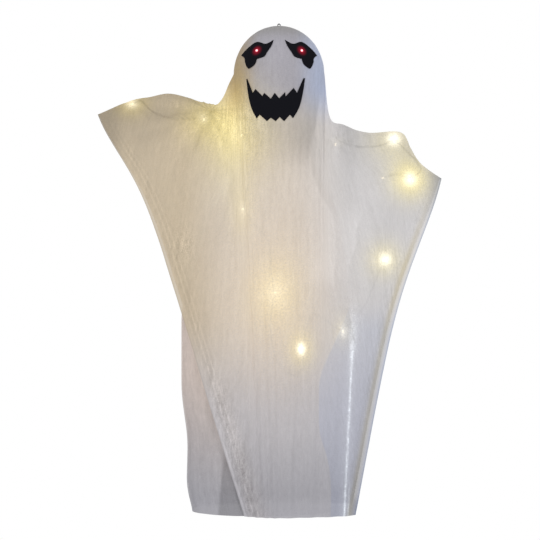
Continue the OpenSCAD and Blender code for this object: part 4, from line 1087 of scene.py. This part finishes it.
class GHOST_OT_face(bpy.types.Operator):
    """Felt eyes and mouth, and the red lamps with their light on the felt"""
    bl_idname = "ghost.face"
    bl_label = "Face"

    def execute(self, context):
        lights = context.scene.ghost_lights
        felt = self.felt()
        for node in ("left_eye_patch", "right_eye_patch", "mouth_patch"):
            dress(NODES[node], felt)
        lamp = speckled("red_lamp", (0.9, 0.1, 0.12), 0.2, scale=300.0, relief=0.05,
                        emission=(*lights.lamp_colour, lights.lamp_strength))
        for node in ("left_eye_lamp", "right_eye_lamp"):
            dress(NODES[node], lamp)
        return {"FINISHED"}

    def felt(self):
        """Black felt with matted fibres and a red light round each lamp."""
        material = speckled("black_felt", (0.006, 0.006, 0.008), 0.95, scale=1400.0, relief=0.6, spread=0.5,
                            specular=0.05)
        tree = material.node_tree
        shader = tree.nodes["Principled BSDF"]
        place = add_node(tree, "ShaderNodeTexCoord")
        link = tree.links.new
        light = None
        for sign in (-1, 1):
            spot = LAMP * MM * (sign, 1, 1)
            reach = add_node(tree, "ShaderNodeVectorMath", {1: spot}, operation="DISTANCE")
            link(place.outputs["Object"], reach.inputs[0])
            for radius, colour in LAMP_RINGS:
                fade = add_node(tree, "ShaderNodeMapRange",
                                {"From Max": radius, "To Min": 1.0, "To Max": 0.0},
                                interpolation_type="SMOOTHERSTEP")
                red = add_node(tree, "ShaderNodeVectorMath", {0: colour}, operation="SCALE")
                link(reach.outputs["Value"], fade.inputs["Value"])
                link(fade.outputs["Result"], red.inputs["Scale"])
                if light is None:
                    light = red
                else:
                    both = add_node(tree, "ShaderNodeVectorMath", operation="ADD")
                    link(light.outputs["Vector"], both.inputs[0])
                    link(red.outputs["Vector"], both.inputs[1])
                    light = both
        link(light.outputs["Vector"], shader.inputs["Emission Color"])
        shader.inputs["Emission Strength"].default_value = 1.0
        return material


class GHOST_OT_hardware(bpy.types.Operator):
    """Finishes of the shells, plate, screws, pins, wires, case, cells and bulbs"""
    bl_idname = "ghost.hardware"
    bl_label = "Hardware"

    def execute(self, context):
        lights = context.scene.ghost_lights
        finishes = {
            "black_moulding": speckled("black_moulding", (0.015, 0.015, 0.015), 0.5, specular=0.12),
            "zinc_steel": speckled("zinc_steel", (0.6, 0.6, 0.62), 0.35, metallic=1.0),
            "shell_plastic": speckled("shell_plastic", (0.62, 0.61, 0.6), 0.6, scale=400.0, spread=0.06),
            "black_rubber": speckled("black_rubber", (0.03, 0.03, 0.03), 0.8),
            "warm_bulb": speckled("warm_bulb", (1.0, 0.9, 0.7), 0.2, scale=300.0, relief=0.05,
                                  emission=(*lights.bulb_colour, lights.bulb_strength)),
            "cell_can": speckled("cell_can", (0.3, 0.32, 0.36), 0.3, metallic=0.6),
            "switch_metal": speckled("switch_metal", (0.4, 0.4, 0.42), 0.4),
            "arm_coating": speckled("arm_coating", (0.72, 0.72, 0.7), 0.45),
            "soft_cap": speckled("soft_cap", (0.6, 0.6, 0.58), 0.8),
            "white_tie": speckled("white_tie", (0.7, 0.7, 0.68), 0.5),
        }
        for part in frame["record"]["subparts"]:
            if part["material_slot"] in finishes:
                dress(NODES[part["node"]], finishes[part["material_slot"]])
        return {"FINISHED"}


class GHOST_PT_panel(bpy.types.Panel):
    """Lists the steps of the prop and its settings"""
    bl_idname = "GHOST_PT_panel"
    bl_label = "Ghost prop"
    bl_space_type = "VIEW_3D"
    bl_region_type = "UI"
    bl_category = "Ghost prop"

    def draw(self, context):
        for step in STEPS:
            self.layout.operator(step.bl_idname)
        for name, kind in SETTINGS.items():
            for key in kind.__annotations__:
                self.layout.prop(getattr(context.scene, name), key)


SETTINGS = {"ghost_cloth": GhostClothSettings, "ghost_wires": GhostWireSettings,
            "ghost_lights": GhostLightSettings}
STEPS = (GHOST_OT_stage, GHOST_OT_wires, GHOST_OT_robe, GHOST_OT_shroud, GHOST_OT_face, GHOST_OT_hardware)
CLASSES = (*SETTINGS.values(), *STEPS, GHOST_PT_panel)


def register():
    for item in CLASSES:
        bpy.utils.register_class(item)
    for name, kind in SETTINGS.items():
        setattr(bpy.types.Scene, name, bpy.props.PointerProperty(type=kind))


def unregister():
    for name in SETTINGS:
        delattr(bpy.types.Scene, name)
    for item in reversed(CLASSES):
        bpy.utils.unregister_class(item)


def main():
    register()
    bpy.ops.ghost.stage()
    bpy.ops.ghost.wires()
    bpy.ops.ghost.robe()
    bpy.ops.ghost.shroud()
    bpy.ops.ghost.face()
    bpy.ops.ghost.hardware()


if __name__ == "__main__":
    main()
